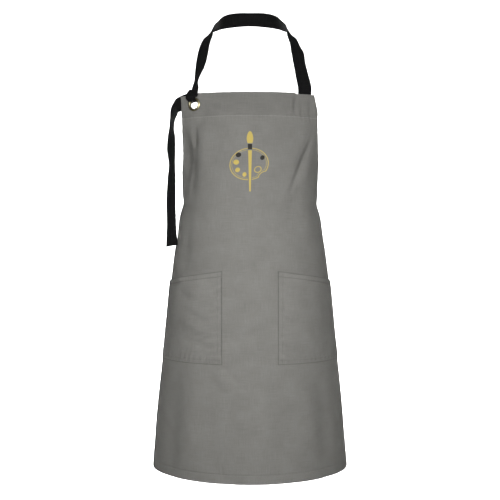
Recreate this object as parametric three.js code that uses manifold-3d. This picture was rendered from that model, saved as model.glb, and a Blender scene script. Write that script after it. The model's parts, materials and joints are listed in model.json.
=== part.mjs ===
// A bib apron for a painter or maker, in the shape it takes when it is worn.
// Millimetres, +Z up, the wearer faces -Y, and +X is to the right of somebody who faces the wearer.
// The origin is where the neck strap rests at the back of the neck.
// The canvas lies on a worn form: level ellipses whose size changes with height. A point of the flat
// canvas is (across, z): the distance round the form from the centre front, and the height.
import * as THREE from "three";
import { mergeVertices } from "three/addons/utils/BufferGeometryUtils.js";
import Module from "manifold-3d";

const wasm = await Module();
wasm.setup();

// Driving dimensions: the flat canvas.
const CLOTH = 1; // thickness of the canvas
const GAP = 0.3; // clearance between rigid pieces that touch
const PLY_GAP = 1.4; // clearance between layers of cloth, whose faces are flat facets
const BIB_TOP = -189.5; // height of the bib's top edge
const BIB_DROP = 238.5; // from the bib's top edge down to the waist corners
const SKIRT_DROP = 618; // from the waist corners down to the hem
const BIB_HALF = 158; // half the flat width at the bib's top edge
const WAIST_HALF = 350; // half the flat width at the waist corners
const HEM_HALF = 355; // half the flat width at the hem
const WAIST = BIB_TOP - BIB_DROP;
const HEM = WAIST - SKIRT_DROP;

// The worn form: half width, half depth and front of its level ellipses.
const FORM_CHEST = 230; // half width at the bib's top edge
const FORM_WAIST = 155; // half width at the waist
const FORM_HEM = 230; // half width at the hem
const WAIST_EASE = 0.05; // share of the skirt over which the waist turns into the flare
const DEPTH_WAIST = 125; // half depth from the chest to the waist
const DEPTH_HEM = 206; // half depth at the hem
const FRONT = -150; // the front of the skirt
const WAIST_SET_BACK = 8; // how far the waist's front stands behind the skirt's
const CHEST_SET_BACK = 35; // how far the bib's top edge stands behind the skirt's front

// Webbing: the neck strap and the waist ties.
const WEBBING = 32; // width
const WEBBING_THICK = 1.5;
const BEND_GAP = 1.2; // half the gap in the webbing at each place where it bends as a joint
const BEND_Y = -96.5; // the line on which the bib swings below the neck strap
const BEND_Z = -184.5;
const SEAM_GAP = 6; // above that line on the sewn side, where the webbing slants across it
const STRAP_X = 122; // where the strap meets the bib, on both sides
const STRAP_ACROSS = 124; // the same place, measured round the form
const TAIL = [-171, -82, -236]; // where the strap's free end hangs from

// Turned and added layers.
const FACING_DEPTH = 57; // depth of the facing inside the bib's top edge
const BINDING = 12; // width of the tape inside each armhole edge
const SIDE_HEM = 12; // width of the turned hem on each side edge
const BOTTOM_HEM = 22; // depth of the turned hem at the bottom edge
const SECOND_LAYER = -(CLOTH + PLY_GAP); // inner face of a layer laid behind the canvas
const THIRD_LAYER = SECOND_LAYER - WEBBING_THICK; // and of one behind the sewn webbing

// Pockets.
const POCKET_IN = 62; // inner edge, from the centre front
const POCKET_OUT = 341; // outer edge, beside the side hem
const POCKET_BOTTOM = -787;
const POCKET_TOP = -585; // at the inner edge
const POCKET_SLANT = 0.13; // how fast the mouth drops towards the side
const POCKET_GAPE = 16; // how far the mouth stands open
const POCKET_HEM = 19;

// Eyelet, in the bib's top corner on the viewer's left.
const EYELET_ACROSS = -127;
const EYELET_Z = -214;
const EYELET_HOLE = 9.4; // radius
const BARREL = 10.4; // radius
const EYELET_CUT = 10.8; // radius of the hole punched in the cloth
const FLANGE = 15; // radius
const FLANGE_RISE = 2;

// Materials.
const finish = (color, roughness, metalness) =>
  new THREE.MeshStandardMaterial({ color, roughness, metalness });
const canvas = finish(0x86857f, 0.9, 0);
const webbing = finish(0x141415, 0.85, 0);
const brass = finish(0xb59a5a, 0.35, 1);
const label = finish(0xe9e7e0, 0.7, 0);

const apron = new THREE.Group();

function add(name, geometry, material) {
  const mesh = new THREE.Mesh(geometry, material);
  mesh.name = name;
  apron.add(mesh);
  return mesh;
}

// The worn form at one height.
function form(z) {
  if (z > WAIST) {
    const up = (z - WAIST) / BIB_DROP;
    return {
      wide: FORM_WAIST + (FORM_CHEST - FORM_WAIST) * up ** 3,
      deep: DEPTH_WAIST,
      front: FRONT + WAIST_SET_BACK + (CHEST_SET_BACK - WAIST_SET_BACK) * up ** 2,
    };
  }
  const down = (WAIST - z) / SKIRT_DROP;
  return {
    wide: FORM_WAIST + (FORM_HEM - FORM_WAIST) * down ** 0.8 * (1 - Math.exp(-down / WAIST_EASE)),
    deep: DEPTH_WAIST + (DEPTH_HEM - DEPTH_WAIST) * down,
    front: FRONT + WAIST_SET_BACK * Math.max(0, 1 - down) ** 2,
  };
}

// Half the flat width of the canvas at one height: straight side edges, quarter-round armholes.
function halfWidth(z) {
  if (z < WAIST) return WAIST_HALF + ((HEM_HALF - WAIST_HALF) * (WAIST - z)) / SKIRT_DROP;
  const down = Math.min(1, (BIB_TOP - z) / BIB_DROP);
  return BIB_HALF + (WAIST_HALF - BIB_HALF) * (1 - Math.sqrt(1 - down * down));
}

// The angle round the form that a distance across the canvas reaches.
function turnAt(across, wide, deep) {
  const step = Math.PI / 360;
  let left = Math.abs(across);
  let turn = 0;
  for (;;) {
    const middle = turn + step / 2;
    const run = step * Math.hypot(wide * Math.cos(middle), deep * Math.sin(middle));
    if (run >= left) return Math.sign(across) * (turn + (step * left) / run);
    left -= run;
    turn += step;
  }
}

// A point of the canvas in space, and as far as "out" in front of its inner face.
function worn(across, z, out) {
  const { wide, deep, front } = form(z);
  const turn = turnAt(across, wide, deep);
  const normal = outward(across, z);
  const point = new THREE.Vector3(wide * Math.sin(turn), front + deep * (1 - Math.cos(turn)), z);
  return point.addScaledVector(normal, out);
}

function outward(across, z) {
  const { wide, deep } = form(z);
  const turn = turnAt(across, wide, deep);
  return new THREE.Vector3(deep * Math.sin(turn), -wide * Math.cos(turn), 0).normalize();
}

// A box grid whose points are moved one by one.
function movedGrid(geometry, place) {
  geometry.deleteAttribute("normal");
  geometry.deleteAttribute("uv");
  const points = geometry.getAttribute("position");
  const at = new THREE.Vector3();
  for (let i = 0; i < points.count; i++) {
    at.fromBufferAttribute(points, i);
    const moved = place(at.x + 0.5, at.y + 0.5, at.z + 0.5);
    points.setXYZ(i, moved.x, moved.y, moved.z);
  }
  const merged = mergeVertices(geometry, 1e-4);
  merged.computeVertexNormals();
  return merged;
}

// A layer of cloth on the form. lay(s, t) gives across, z and out for s and t from 0 to 1.
function layer(columns, rows, thickness, lay) {
  return movedGrid(new THREE.BoxGeometry(1, 1, 1, columns, rows, 1), (s, t, side) => {
    const { across, z, out } = lay(s, t);
    return worn(across, z, out + side * thickness);
  });
}

// Webbing along a smooth path. A station is [x, y, z, width direction x, y, z, width, thickness].
function ribbon(stations, steps) {
  const path = new THREE.CatmullRomCurve3(stations.map((s) => new THREE.Vector3(s[0], s[1], s[2])));
  const wide = new THREE.CatmullRomCurve3(stations.map((s) => new THREE.Vector3(s[3], s[4], s[5])));
  const sizeAt = (t, column) => {
    const at = t * (stations.length - 1);
    const low = Math.min(Math.floor(at), stations.length - 2);
    return THREE.MathUtils.lerp(stations[low][column], stations[low + 1][column], at - low);
  };
  return movedGrid(new THREE.BoxGeometry(1, 1, 1, 2, 1, steps), (s, side, t) => {
    const along = path.getTangent(t);
    const width = wide.getPoint(t).addScaledVector(along, -wide.getPoint(t).dot(along)).normalize();
    const normal = along.clone().cross(width);
    return path
      .getPoint(t)
      .addScaledVector(width, (s - 0.5) * sizeAt(t, 6))
      .addScaledVector(normal, (side - 0.5) * sizeAt(t, 7));
  });
}

function solidOf(geometry) {
  const merged = mergeVertices(geometry, 1e-3);
  return new wasm.Manifold(
    new wasm.Mesh({
      numProp: 3,
      vertProperties: merged.getAttribute("position").array,
      triVerts: new Uint32Array(merged.index.array),
    }),
  );
}

// The eyelet's hole, punched straight through a layer along the eyelet's own axis.
function punched(geometry) {
  const punch = new THREE.CylinderGeometry(EYELET_CUT, EYELET_CUT, 40, 24);
  punch.deleteAttribute("normal");
  punch.deleteAttribute("uv");
  punch.applyMatrix4(eyeletPlace);
  const mesh = solidOf(geometry).subtract(solidOf(punch)).getMesh();
  const holed = new THREE.BufferGeometry();
  holed.setAttribute("position", new THREE.BufferAttribute(new Float32Array(mesh.vertProperties), 3));
  holed.setIndex(new THREE.BufferAttribute(new Uint32Array(mesh.triVerts), 1));
  holed.computeVertexNormals();
  return holed;
}

const eyeletNormal = outward(EYELET_ACROSS, EYELET_Z);
const eyeletPlace = new THREE.Matrix4().compose(
  worn(EYELET_ACROSS, EYELET_Z, 0),
  new THREE.Quaternion().setFromUnitVectors(new THREE.Vector3(0, 1, 0), eyeletNormal),
  new THREE.Vector3(1, 1, 1),
);

// The canvas: rows crowd together towards the waist, where the armhole edge runs level.
const CROWDING = 1.4;

function frontPanel() {
  const bibRows = 14;
  const skirtRows = 10;
  const rows = bibRows + skirtRows;
  const sheet = layer(36, rows, CLOTH, (s, t) => {
    const row = Math.round((1 - t) * rows);
    const z =
      row <= bibRows
        ? BIB_TOP - BIB_DROP * Math.sin((Math.PI / 2) * (row / bibRows))
        : WAIST - SKIRT_DROP * ((row - bibRows) / skirtRows) ** CROWDING;
    return { across: (2 * s - 1) * halfWidth(z), z, out: 0 };
  });
  add("front_panel", punched(sheet), canvas);
}

// The facing lies behind the sewn end of the strap, so it stands two layers in.
function bibTopFacing() {
  const out = THIRD_LAYER;
  const sheet = layer(20, 2, CLOTH, (s, t) => {
    const z = BIB_TOP - 1 - FACING_DEPTH * (1 - t);
    return { across: (2 * s - 1) * (halfWidth(z) - 1), z, out };
  });
  add("bib_top_facing", punched(sheet), canvas);
}

// Tape along the armhole edge, from under the facing to just above the waist corner.
function armholeBinding(name, side) {
  const rows = 14;
  const binding = layer(1, rows, CLOTH, (s, t) => {
    const low = 0.985;
    const high = (FACING_DEPTH + 3) / BIB_DROP;
    const down = Math.sin(THREE.MathUtils.lerp(Math.asin(low), Math.asin(high), t));
    const z = BIB_TOP - BIB_DROP * down;
    const edge = halfWidth(z) - 1;
    const across = side > 0 ? edge - BINDING * (1 - s) : -edge + BINDING * s;
    return { across, z, out: SECOND_LAYER };
  });
  add(name, binding, canvas);
}

// The side hem starts below the tie, which is sewn over its top end.
function sideHem(name, side) {
  const hem = layer(1, 12, CLOTH, (s, t) => {
    const z = THREE.MathUtils.lerp(WAIST - 42, HEM + BOTTOM_HEM + 2, (1 - t) ** CROWDING);
    const edge = halfWidth(z) - 1;
    const across = side > 0 ? edge - SIDE_HEM * (1 - s) : -edge + SIDE_HEM * s;
    return { across, z, out: SECOND_LAYER };
  });
  add(name, hem, canvas);
}

function bottomHem() {
  const hem = layer(36, 1, CLOTH, (s, t) => {
    const z = HEM + 1 + BOTTOM_HEM * t;
    return { across: (2 * s - 1) * (halfWidth(z) - 1), z, out: SECOND_LAYER };
  });
  add("bottom_hem", hem, canvas);
}

// A pocket is sewn down at its bottom and both sides, and its mouth stands open.
const mouthZ = (across) => POCKET_TOP - POCKET_SLANT * (across - POCKET_IN);

function pocketOut(across, z) {
  const s = THREE.MathUtils.clamp((across - POCKET_IN) / (POCKET_OUT - POCKET_IN), 0, 1);
  const t = THREE.MathUtils.clamp((z - POCKET_BOTTOM) / (mouthZ(across) - POCKET_BOTTOM), 0, 1);
  return CLOTH + PLY_GAP + POCKET_GAPE * Math.sin(Math.PI * s ** 0.55) ** 1.5 * t ** 0.8;
}

function pocketLayer(side, columns, rows, low, out) {
  return layer(columns, rows, CLOTH, (s, t) => {
    const away = side > 0 ? s : 1 - s;
    const across = THREE.MathUtils.lerp(POCKET_IN, POCKET_OUT, away);
    const z = THREE.MathUtils.lerp(low(across), mouthZ(across), t);
    return { across: side * across, z, out: pocketOut(across, z) + out };
  });
}

function pocket(name, side) {
  add(name, pocketLayer(side, 14, 5, () => POCKET_BOTTOM, 0), canvas);
}

// The turned hem inside a pocket's mouth stays clear of the seams at both ends.
function pocketHem(name, side) {
  const inset = 24;
  const hem = layer(12, 1, CLOTH, (s, t) => {
    const away = side > 0 ? s : 1 - s;
    const across = THREE.MathUtils.lerp(POCKET_IN + inset, POCKET_OUT - inset, away);
    const z = mouthZ(across) - 1 - POCKET_HEM * (1 - t);
    return { across: side * across, z, out: pocketOut(across, z) + SECOND_LAYER };
  });
  add(name, hem, canvas);
}

function eyelet() {
  const outline = (points) => points.map(([r, y]) => new THREE.Vector2(r, y));
  const front = CLOTH + 0.5;
  const back = THIRD_LAYER - 1.2;
  const washer = 1;
  const face = new THREE.LatheGeometry(
    outline([
      [EYELET_HOLE, back - washer],
      [BARREL, back - washer],
      [BARREL, front],
      [FLANGE, front],
      [FLANGE, front + 0.5],
      [FLANGE - 1.2, front + FLANGE_RISE - 0.4],
      [BARREL + 0.2, front + FLANGE_RISE],
      [EYELET_HOLE + 0.3, front + FLANGE_RISE - 0.8],
      [EYELET_HOLE, front],
      [EYELET_HOLE, back - washer],
    ]),
    24,
  );
  const ring = new THREE.LatheGeometry(
    outline([
      [BARREL + GAP, back - washer],
      [FLANGE, back - washer],
      [FLANGE, back],
      [BARREL + GAP, back],
      [BARREL + GAP, back - washer],
    ]),
    24,
  );
  for (const [name, shape] of [["eyelet_face", face], ["eyelet_washer", ring]])
    add(name, shape, brass).applyMatrix4(eyeletPlace);
}

// The neck strap from its sewn end on the right, round the back of the neck, to the eyelet corner.
function neckStrap() {
  const W = WEBBING;
  const T = WEBBING_THICK;
  const side = (x) => [
    [x * 102.6, -59, -75.5, -x * 0.67, -0.71, -0.21, W, T],
    [x * 95.5, -50, -55, -x * 0.45, -0.87, -0.19, W, T],
    [x * 84, -38, -32, 0, -1, 0, W, T],
    [x * 74, -26, -21.5, -x * 0.06, -0.9, 0.44, W, T],
    [x * 60, -12, -11, -x * 0.05, -0.58, 0.81, W, T],
    [x * 31, -2, -2, 0, -0.2, 0.98, W, T],
  ];
  add(
    "neck_strap",
    ribbon(
      [
        [STRAP_X, BEND_Y + 2, BEND_Z + SEAM_GAP, -0.95, -0.31, 0, W, T],
        [120.3, -90, -166, -0.97, -0.25, 0, W, T],
        [115.7, -81, -144.5, -0.93, -0.35, -0.1, W, T],
        [108, -66, -95.5, -0.9, -0.41, -0.15, W, T],
        ...side(1),
        [0, T / 2, 0, 0, 0, 1, W, T],
        ...side(-1).reverse(),
        [-106, -66, -95.5, 0.78, -0.62, -0.1, W, T],
        [-111, -76, -125, 0.68, -0.73, -0.1, 31, T],
        [-116.5, -86, -150, 0.5, -0.86, 0, 26, 2],
        [-119.5, -92, -166, 0.6, -0.8, 0, 21, 2.4],
        [-STRAP_X, BEND_Y, BEND_Z + SEAM_GAP / 2, 0.95, -0.3, 0, 19, 2.4],
      ],
      44,
    ),
    webbing,
  );
}

// The strap's sewn end, between the canvas and the facing.
function strapSewnEnd() {
  const stations = [BEND_Z - BEND_GAP, BIB_TOP - 8, BIB_TOP - 26, BIB_TOP - 44].map((z) => {
    const slope = outward(STRAP_ACROSS, z);
    const at = worn(STRAP_ACROSS, z, -PLY_GAP - WEBBING_THICK / 3);
    return [at.x, at.y, z, -slope.y, slope.x, 0, WEBBING, WEBBING_THICK];
  });
  add("strap_sewn_end", ribbon(stations, 6), webbing);
}

// The strap gathered over the bib's edge, through the eyelet and out behind the corner.
function strapWrap() {
  const T = WEBBING_THICK;
  const centre = worn(EYELET_ACROSS, EYELET_Z, 0);
  const across = new THREE.Vector3(-eyeletNormal.y, eyeletNormal.x, 0);
  // A station placed from the eyelet's centre: along the cloth, out of it and up.
  const near = (along, out, up, w, wide, thick) => [
    ...centre.clone().addScaledVector(across, along).addScaledVector(eyeletNormal, out).toArray(),
    ...w,
    wide,
    thick,
  ].map((value, i) => (i === 2 ? value + up : value));
  const level = across.toArray();
  add(
    "strap_wrap",
    ribbon(
      [
        [-STRAP_X, BEND_Y, BEND_Z - BEND_GAP, 0.95, -0.3, 0, 19, 2.4],
        near(1, 6.5, 20, level, 24, 2.6),
        near(0, 8, 13, level, 22, 3),
        near(0, 6, 6.5, level, 15, 4.5),
        near(0, 0, 2.5, level, 12.5, 6),
        near(0, -6, 1.5, level, 12.5, 6),
        near(-4, -11, 1, [0.6, 0.2, 0.7], 13, 5),
        near(-14, -11, 3, [0, 0, 1], 18, 3.5),
        near(-27, -10, 5, [0, 0, 1], 24, 2.4),
        [-157, -73, -213, -0.5, -0.2, 0.8, 27, 1.8],
        [-166, -79, -225, -0.5, -0.8, 0.3, 28, T],
        [TAIL[0] + 0.6, TAIL[1] + 0.2, TAIL[2] + 6, -0.45, -0.893, 0, 30, T],
        [TAIL[0], TAIL[1], TAIL[2] + BEND_GAP, -0.45, -0.893, 0, 30, T],
      ],
      36,
    ),
    webbing,
  );
}

// The free end of the strap hangs beside the bib.
function strapTail() {
  const W = WEBBING;
  const T = WEBBING_THICK;
  add(
    "strap_tail",
    ribbon(
      [
        [TAIL[0], TAIL[1], TAIL[2] - BEND_GAP, -0.45, -0.893, 0, 30, T],
        [TAIL[0] - 0.6, TAIL[1] - 0.1, TAIL[2] - 8, -0.42, -0.9, 0, 31, T],
        [-174.5, -82.5, -266, -0.35, -0.93, 0, W, T],
        [-176, -82, -314, -0.5, -0.86, 0, W, T],
        [-174.5, -80, -348, -0.35, -0.93, 0, W, T],
        [-175, -79, -381, -0.5, -0.86, 0, W, T],
        [-177, -78, -426, -0.56, -0.82, 0, W, T],
        [-175.5, -77, -482, -0.58, -0.81, 0, W, T],
        [-175.5, -77, -531, -0.75, -0.65, 0, W, T],
      ],
      18,
    ),
    webbing,
  );
}

// Waist ties: sewn inside the waist corners, knotted in a bow at the back.
const TIE_Z = WAIST - 22;
const KNOT = { x: 17, y: 11, z: 19 }; // half sizes
const KNOT_Y = 108;

function tie(name, side) {
  const stations = [312, 330, 350, 372, 394, 413, 431].map((across) => {
    const at = worn(side * across, TIE_Z, THIRD_LAYER - 2.2);
    return [at.x, at.y, TIE_Z, 0, 0, 1, WEBBING, WEBBING_THICK];
  });
  add(name, ribbon(stations, 14), webbing);
}

function tieKnot() {
  const knot = new THREE.SphereGeometry(1, 20, 12);
  knot.scale(KNOT.x, KNOT.y, KNOT.z);
  knot.translate(0, KNOT_Y, TIE_Z);
  add("tie_knot", knot, webbing);
}

function bowLoop(name, side) {
  const W = WEBBING;
  const T = WEBBING_THICK;
  const stations = [
    [18.5, 112.5, 0, 0.05, 0, 1, 26, T],
    [46, 115, -3, 0.15, 0, 1, W, T],
    [84, 117, -15, 0.3, 0, 1, W, T],
    [106, 119, -27, 0.4, 0, 1, W, T],
    [114, 124, -31, 0.4, 0, 1, W, T],
    [104, 129, -27, 0.4, 0, 1, W, T],
    [80, 129, -16, 0.3, 0, 1, W, T],
    [46, 124, -4, 0.15, 0, 1, W, T],
    [20, 117, 0, 0.05, 0, 1, 26, T],
  ].map(([x, y, z, wx, wy, wz, wide, thick]) => [side * x, y, TIE_Z + z, side * wx, wy, wz, wide, thick]);
  add(name, ribbon(side > 0 ? stations.reverse() : stations, 28), webbing);
}

function tieTail(name, side) {
  const top = TIE_Z - KNOT.z - 3;
  const stations = [
    [18, KNOT_Y, top - BEND_GAP, 1, 0, 0],
    [21, KNOT_Y + 0.5, top - 50, 1, 0.05, 0],
    [27, KNOT_Y + 2, top - 130, 1, 0.15, 0],
    [33, KNOT_Y + 2, top - 220, 1, 0.1, 0],
    [36, KNOT_Y, top - 300, 1, -0.1, 0],
    [38, KNOT_Y + 1, top - 378, 1, 0, 0],
  ].map(([x, y, z, wx, wy, wz]) => [side * x, y, z, wx, side * wy, wz, WEBBING, WEBBING_THICK]);
  add(name, ribbon(stations, 14), webbing);
}

// A blank woven label inside the side hem on the viewer's left.
function careLabel() {
  const tag = layer(2, 3, 0.5, (s, t) => ({
    across: THREE.MathUtils.lerp(-345, -318, s),
    z: THREE.MathUtils.lerp(-905, -860, t),
    out: THIRD_LAYER,
  }));
  add("care_label", tag, label);
}

frontPanel();
bibTopFacing();
armholeBinding("left_armhole_binding", -1);
armholeBinding("right_armhole_binding", 1);
sideHem("left_side_hem", -1);
sideHem("right_side_hem", 1);
bottomHem();
pocket("left_pocket", -1);
pocket("right_pocket", 1);
pocketHem("left_pocket_hem", -1);
pocketHem("right_pocket_hem", 1);
eyelet();
neckStrap();
strapSewnEnd();
strapWrap();
strapTail();
tie("left_tie", -1);
tie("right_tie", 1);
tieKnot();
bowLoop("left_bow_loop", -1);
bowLoop("right_bow_loop", 1);
tieTail("left_tie_tail", -1);
tieTail("right_tie_tail", 1);
careLabel();

export default apron;
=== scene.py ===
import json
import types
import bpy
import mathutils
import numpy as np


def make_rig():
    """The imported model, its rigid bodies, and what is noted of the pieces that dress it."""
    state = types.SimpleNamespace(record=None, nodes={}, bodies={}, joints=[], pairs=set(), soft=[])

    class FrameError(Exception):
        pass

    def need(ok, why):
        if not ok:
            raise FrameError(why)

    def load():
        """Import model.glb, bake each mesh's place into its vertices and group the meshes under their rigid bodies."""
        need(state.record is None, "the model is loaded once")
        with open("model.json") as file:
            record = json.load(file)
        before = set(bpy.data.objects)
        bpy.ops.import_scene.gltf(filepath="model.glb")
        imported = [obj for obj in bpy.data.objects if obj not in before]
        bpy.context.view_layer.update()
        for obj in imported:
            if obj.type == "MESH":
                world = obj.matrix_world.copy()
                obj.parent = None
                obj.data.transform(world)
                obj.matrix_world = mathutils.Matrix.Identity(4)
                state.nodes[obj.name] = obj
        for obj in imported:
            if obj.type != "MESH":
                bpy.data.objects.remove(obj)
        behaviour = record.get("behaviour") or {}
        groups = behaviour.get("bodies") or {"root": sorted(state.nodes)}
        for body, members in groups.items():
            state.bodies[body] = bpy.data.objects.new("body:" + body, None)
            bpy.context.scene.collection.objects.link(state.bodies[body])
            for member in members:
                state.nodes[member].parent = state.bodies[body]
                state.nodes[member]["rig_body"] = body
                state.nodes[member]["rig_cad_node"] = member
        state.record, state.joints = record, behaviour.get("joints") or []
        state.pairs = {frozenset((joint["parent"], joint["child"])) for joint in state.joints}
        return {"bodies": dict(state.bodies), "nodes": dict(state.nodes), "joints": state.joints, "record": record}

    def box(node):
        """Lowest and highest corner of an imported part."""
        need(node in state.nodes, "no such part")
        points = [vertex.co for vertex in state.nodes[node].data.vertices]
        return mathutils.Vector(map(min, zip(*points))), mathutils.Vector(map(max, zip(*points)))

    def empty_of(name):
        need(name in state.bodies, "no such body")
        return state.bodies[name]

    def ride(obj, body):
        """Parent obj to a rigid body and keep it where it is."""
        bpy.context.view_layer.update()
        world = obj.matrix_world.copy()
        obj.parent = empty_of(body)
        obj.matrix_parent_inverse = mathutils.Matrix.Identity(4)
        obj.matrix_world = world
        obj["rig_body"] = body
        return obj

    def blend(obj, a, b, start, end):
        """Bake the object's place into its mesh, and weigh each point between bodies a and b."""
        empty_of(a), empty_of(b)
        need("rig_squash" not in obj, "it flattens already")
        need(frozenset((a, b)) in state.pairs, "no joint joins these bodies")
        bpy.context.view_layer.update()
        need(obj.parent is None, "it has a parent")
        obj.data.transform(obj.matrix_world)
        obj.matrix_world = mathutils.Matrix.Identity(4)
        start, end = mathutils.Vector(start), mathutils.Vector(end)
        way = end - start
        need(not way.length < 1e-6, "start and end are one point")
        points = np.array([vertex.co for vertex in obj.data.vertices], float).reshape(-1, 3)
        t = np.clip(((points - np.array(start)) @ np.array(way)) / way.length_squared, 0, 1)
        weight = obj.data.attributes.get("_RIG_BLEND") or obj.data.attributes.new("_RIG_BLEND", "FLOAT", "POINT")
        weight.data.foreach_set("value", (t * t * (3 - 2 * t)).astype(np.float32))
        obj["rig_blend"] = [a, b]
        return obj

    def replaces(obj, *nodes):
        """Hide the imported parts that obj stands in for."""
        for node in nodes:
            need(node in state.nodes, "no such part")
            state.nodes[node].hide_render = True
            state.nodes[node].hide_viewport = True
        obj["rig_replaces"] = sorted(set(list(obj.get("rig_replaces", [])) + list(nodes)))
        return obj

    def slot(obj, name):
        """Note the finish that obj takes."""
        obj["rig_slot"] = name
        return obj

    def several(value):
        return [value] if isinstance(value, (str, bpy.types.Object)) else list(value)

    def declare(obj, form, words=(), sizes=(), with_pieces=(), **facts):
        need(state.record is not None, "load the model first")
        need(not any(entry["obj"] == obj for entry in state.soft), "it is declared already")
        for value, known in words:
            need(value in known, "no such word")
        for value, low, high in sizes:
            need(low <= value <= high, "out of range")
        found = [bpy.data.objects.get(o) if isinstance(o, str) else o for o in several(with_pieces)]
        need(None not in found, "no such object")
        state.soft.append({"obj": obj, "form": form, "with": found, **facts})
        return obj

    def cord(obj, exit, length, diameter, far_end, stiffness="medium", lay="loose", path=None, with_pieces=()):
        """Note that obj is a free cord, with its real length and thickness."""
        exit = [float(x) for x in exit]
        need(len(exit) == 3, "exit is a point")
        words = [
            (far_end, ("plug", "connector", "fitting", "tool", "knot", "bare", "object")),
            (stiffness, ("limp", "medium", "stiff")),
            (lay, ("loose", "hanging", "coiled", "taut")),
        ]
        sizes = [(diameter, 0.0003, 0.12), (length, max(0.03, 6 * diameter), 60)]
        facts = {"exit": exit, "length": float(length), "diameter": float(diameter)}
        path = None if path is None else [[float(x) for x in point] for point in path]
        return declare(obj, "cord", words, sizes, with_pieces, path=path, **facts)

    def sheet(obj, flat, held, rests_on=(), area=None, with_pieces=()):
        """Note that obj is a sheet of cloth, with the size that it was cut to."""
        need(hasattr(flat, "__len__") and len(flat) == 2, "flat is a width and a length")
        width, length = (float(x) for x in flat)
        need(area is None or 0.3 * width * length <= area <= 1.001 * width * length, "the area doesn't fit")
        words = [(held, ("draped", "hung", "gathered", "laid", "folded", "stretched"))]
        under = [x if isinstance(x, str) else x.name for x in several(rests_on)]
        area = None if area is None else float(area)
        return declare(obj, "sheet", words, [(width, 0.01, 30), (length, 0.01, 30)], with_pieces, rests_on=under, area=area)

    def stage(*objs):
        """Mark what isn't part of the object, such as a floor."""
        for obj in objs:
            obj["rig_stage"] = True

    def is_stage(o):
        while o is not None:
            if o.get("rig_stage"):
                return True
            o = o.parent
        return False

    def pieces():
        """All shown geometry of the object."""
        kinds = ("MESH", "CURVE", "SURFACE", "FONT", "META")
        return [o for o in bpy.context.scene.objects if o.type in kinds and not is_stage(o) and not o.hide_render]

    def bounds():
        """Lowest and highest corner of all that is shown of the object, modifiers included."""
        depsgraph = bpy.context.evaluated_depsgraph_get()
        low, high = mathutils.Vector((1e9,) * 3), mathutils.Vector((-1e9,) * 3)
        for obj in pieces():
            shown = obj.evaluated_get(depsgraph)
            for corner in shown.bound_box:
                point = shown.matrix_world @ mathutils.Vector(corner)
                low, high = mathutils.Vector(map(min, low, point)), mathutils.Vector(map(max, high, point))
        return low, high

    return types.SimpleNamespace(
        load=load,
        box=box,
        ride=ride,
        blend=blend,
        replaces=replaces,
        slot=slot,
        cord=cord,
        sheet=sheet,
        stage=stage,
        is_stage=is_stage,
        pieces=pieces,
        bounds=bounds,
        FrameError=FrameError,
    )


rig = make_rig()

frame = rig.load()

import bisect
import functools
import json
import math

import bmesh
import bpy
import numpy as np
from mathutils import Matrix, Vector, noise

bl_info = {
    "name": "Painter's Bib Apron",
    "version": (1, 0, 0),
    "blender": (4, 5, 0),
    "location": "3D View > Sidebar > Apron",
    "description": "Builds a worn canvas bib apron with webbing straps, side pockets and a brass eyelet",
    "category": "Add Mesh",
}

CAD_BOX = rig.bounds()
PANEL_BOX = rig.box("front_panel")
POCKET_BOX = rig.box("right_pocket")
MM = 0.001

# ---------------------------------------------------------------------------------------------
# The cut of the apron, in metres. Heights come from the frame; a point of the flat canvas is
# (across, z): the distance round the body from the centre front, and the height.

BIB_TOP = PANEL_BOX[1][2]
HEM = PANEL_BOX[0][2]
BIB_DROP = 238.5 * MM
WAIST = BIB_TOP - BIB_DROP
SKIRT_DROP = WAIST - HEM
BIB_HALF = 158 * MM
WAIST_HALF = 350 * MM
HEM_HALF = 355 * MM

FORM_CHEST = 230 * MM
FORM_WAIST = 155 * MM
FORM_HEM = 230 * MM
WAIST_EASE = 0.05
DEPTH_WAIST = 125 * MM
DEPTH_HEM = 206 * MM
FRONT = -150 * MM
WAIST_SET_BACK = 8 * MM
CHEST_SET_BACK = 35 * MM

CLOTH = 1 * MM
FACING_DEPTH = 57 * MM
BINDING = 12 * MM
SIDE_HEM = 12 * MM
BOTTOM_HEM = 22 * MM

POCKET_IN = 62 * MM
POCKET_OUT = 341 * MM
POCKET_BOTTOM = POCKET_BOX[0][2]
POCKET_TOP = POCKET_BOX[1][2]
POCKET_SLANT = 0.13
POCKET_HEM = 19 * MM

# Rows of stitches
BAND_ROW = BIB_TOP - FACING_DEPTH + 3 * MM
HEM_ROW = HEM + BOTTOM_HEM - 2 * MM
FOLD_ROW = 2.5 * MM  # in from a turned edge's inner side
MOUTH_ROW = 10.5 * MM  # below a pocket's mouth
POCKET_ROWS = (2 * MM, 9 * MM)  # in from a pocket's sewn edges

PRINT_Z = BIB_TOP - 155.5 * MM
SIDES = ((-1, "left"), (1, "right"))

WEBBING = 32 * MM
WEBBING_THICK = 1.5 * MM
WEBBING_SIDES = 40
STRAP_ACROSS = 124 * MM
BEND_Y = -96.5 * MM
BEND_Z = -184.5 * MM
TAIL_PIVOT = Vector((-171, -82, -236)) * MM

EYELET_ACROSS = -127 * MM
EYELET_Z = -214 * MM
EYELET_HOLE = 9.4 * MM

TIE_Z = WAIST - 22 * MM
KNOT_Y = 108 * MM
KNOT_HALF_HEIGHT = 19 * MM
TIE_PIVOT_Z = TIE_Z - KNOT_HALF_HEIGHT - 3 * MM


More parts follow.
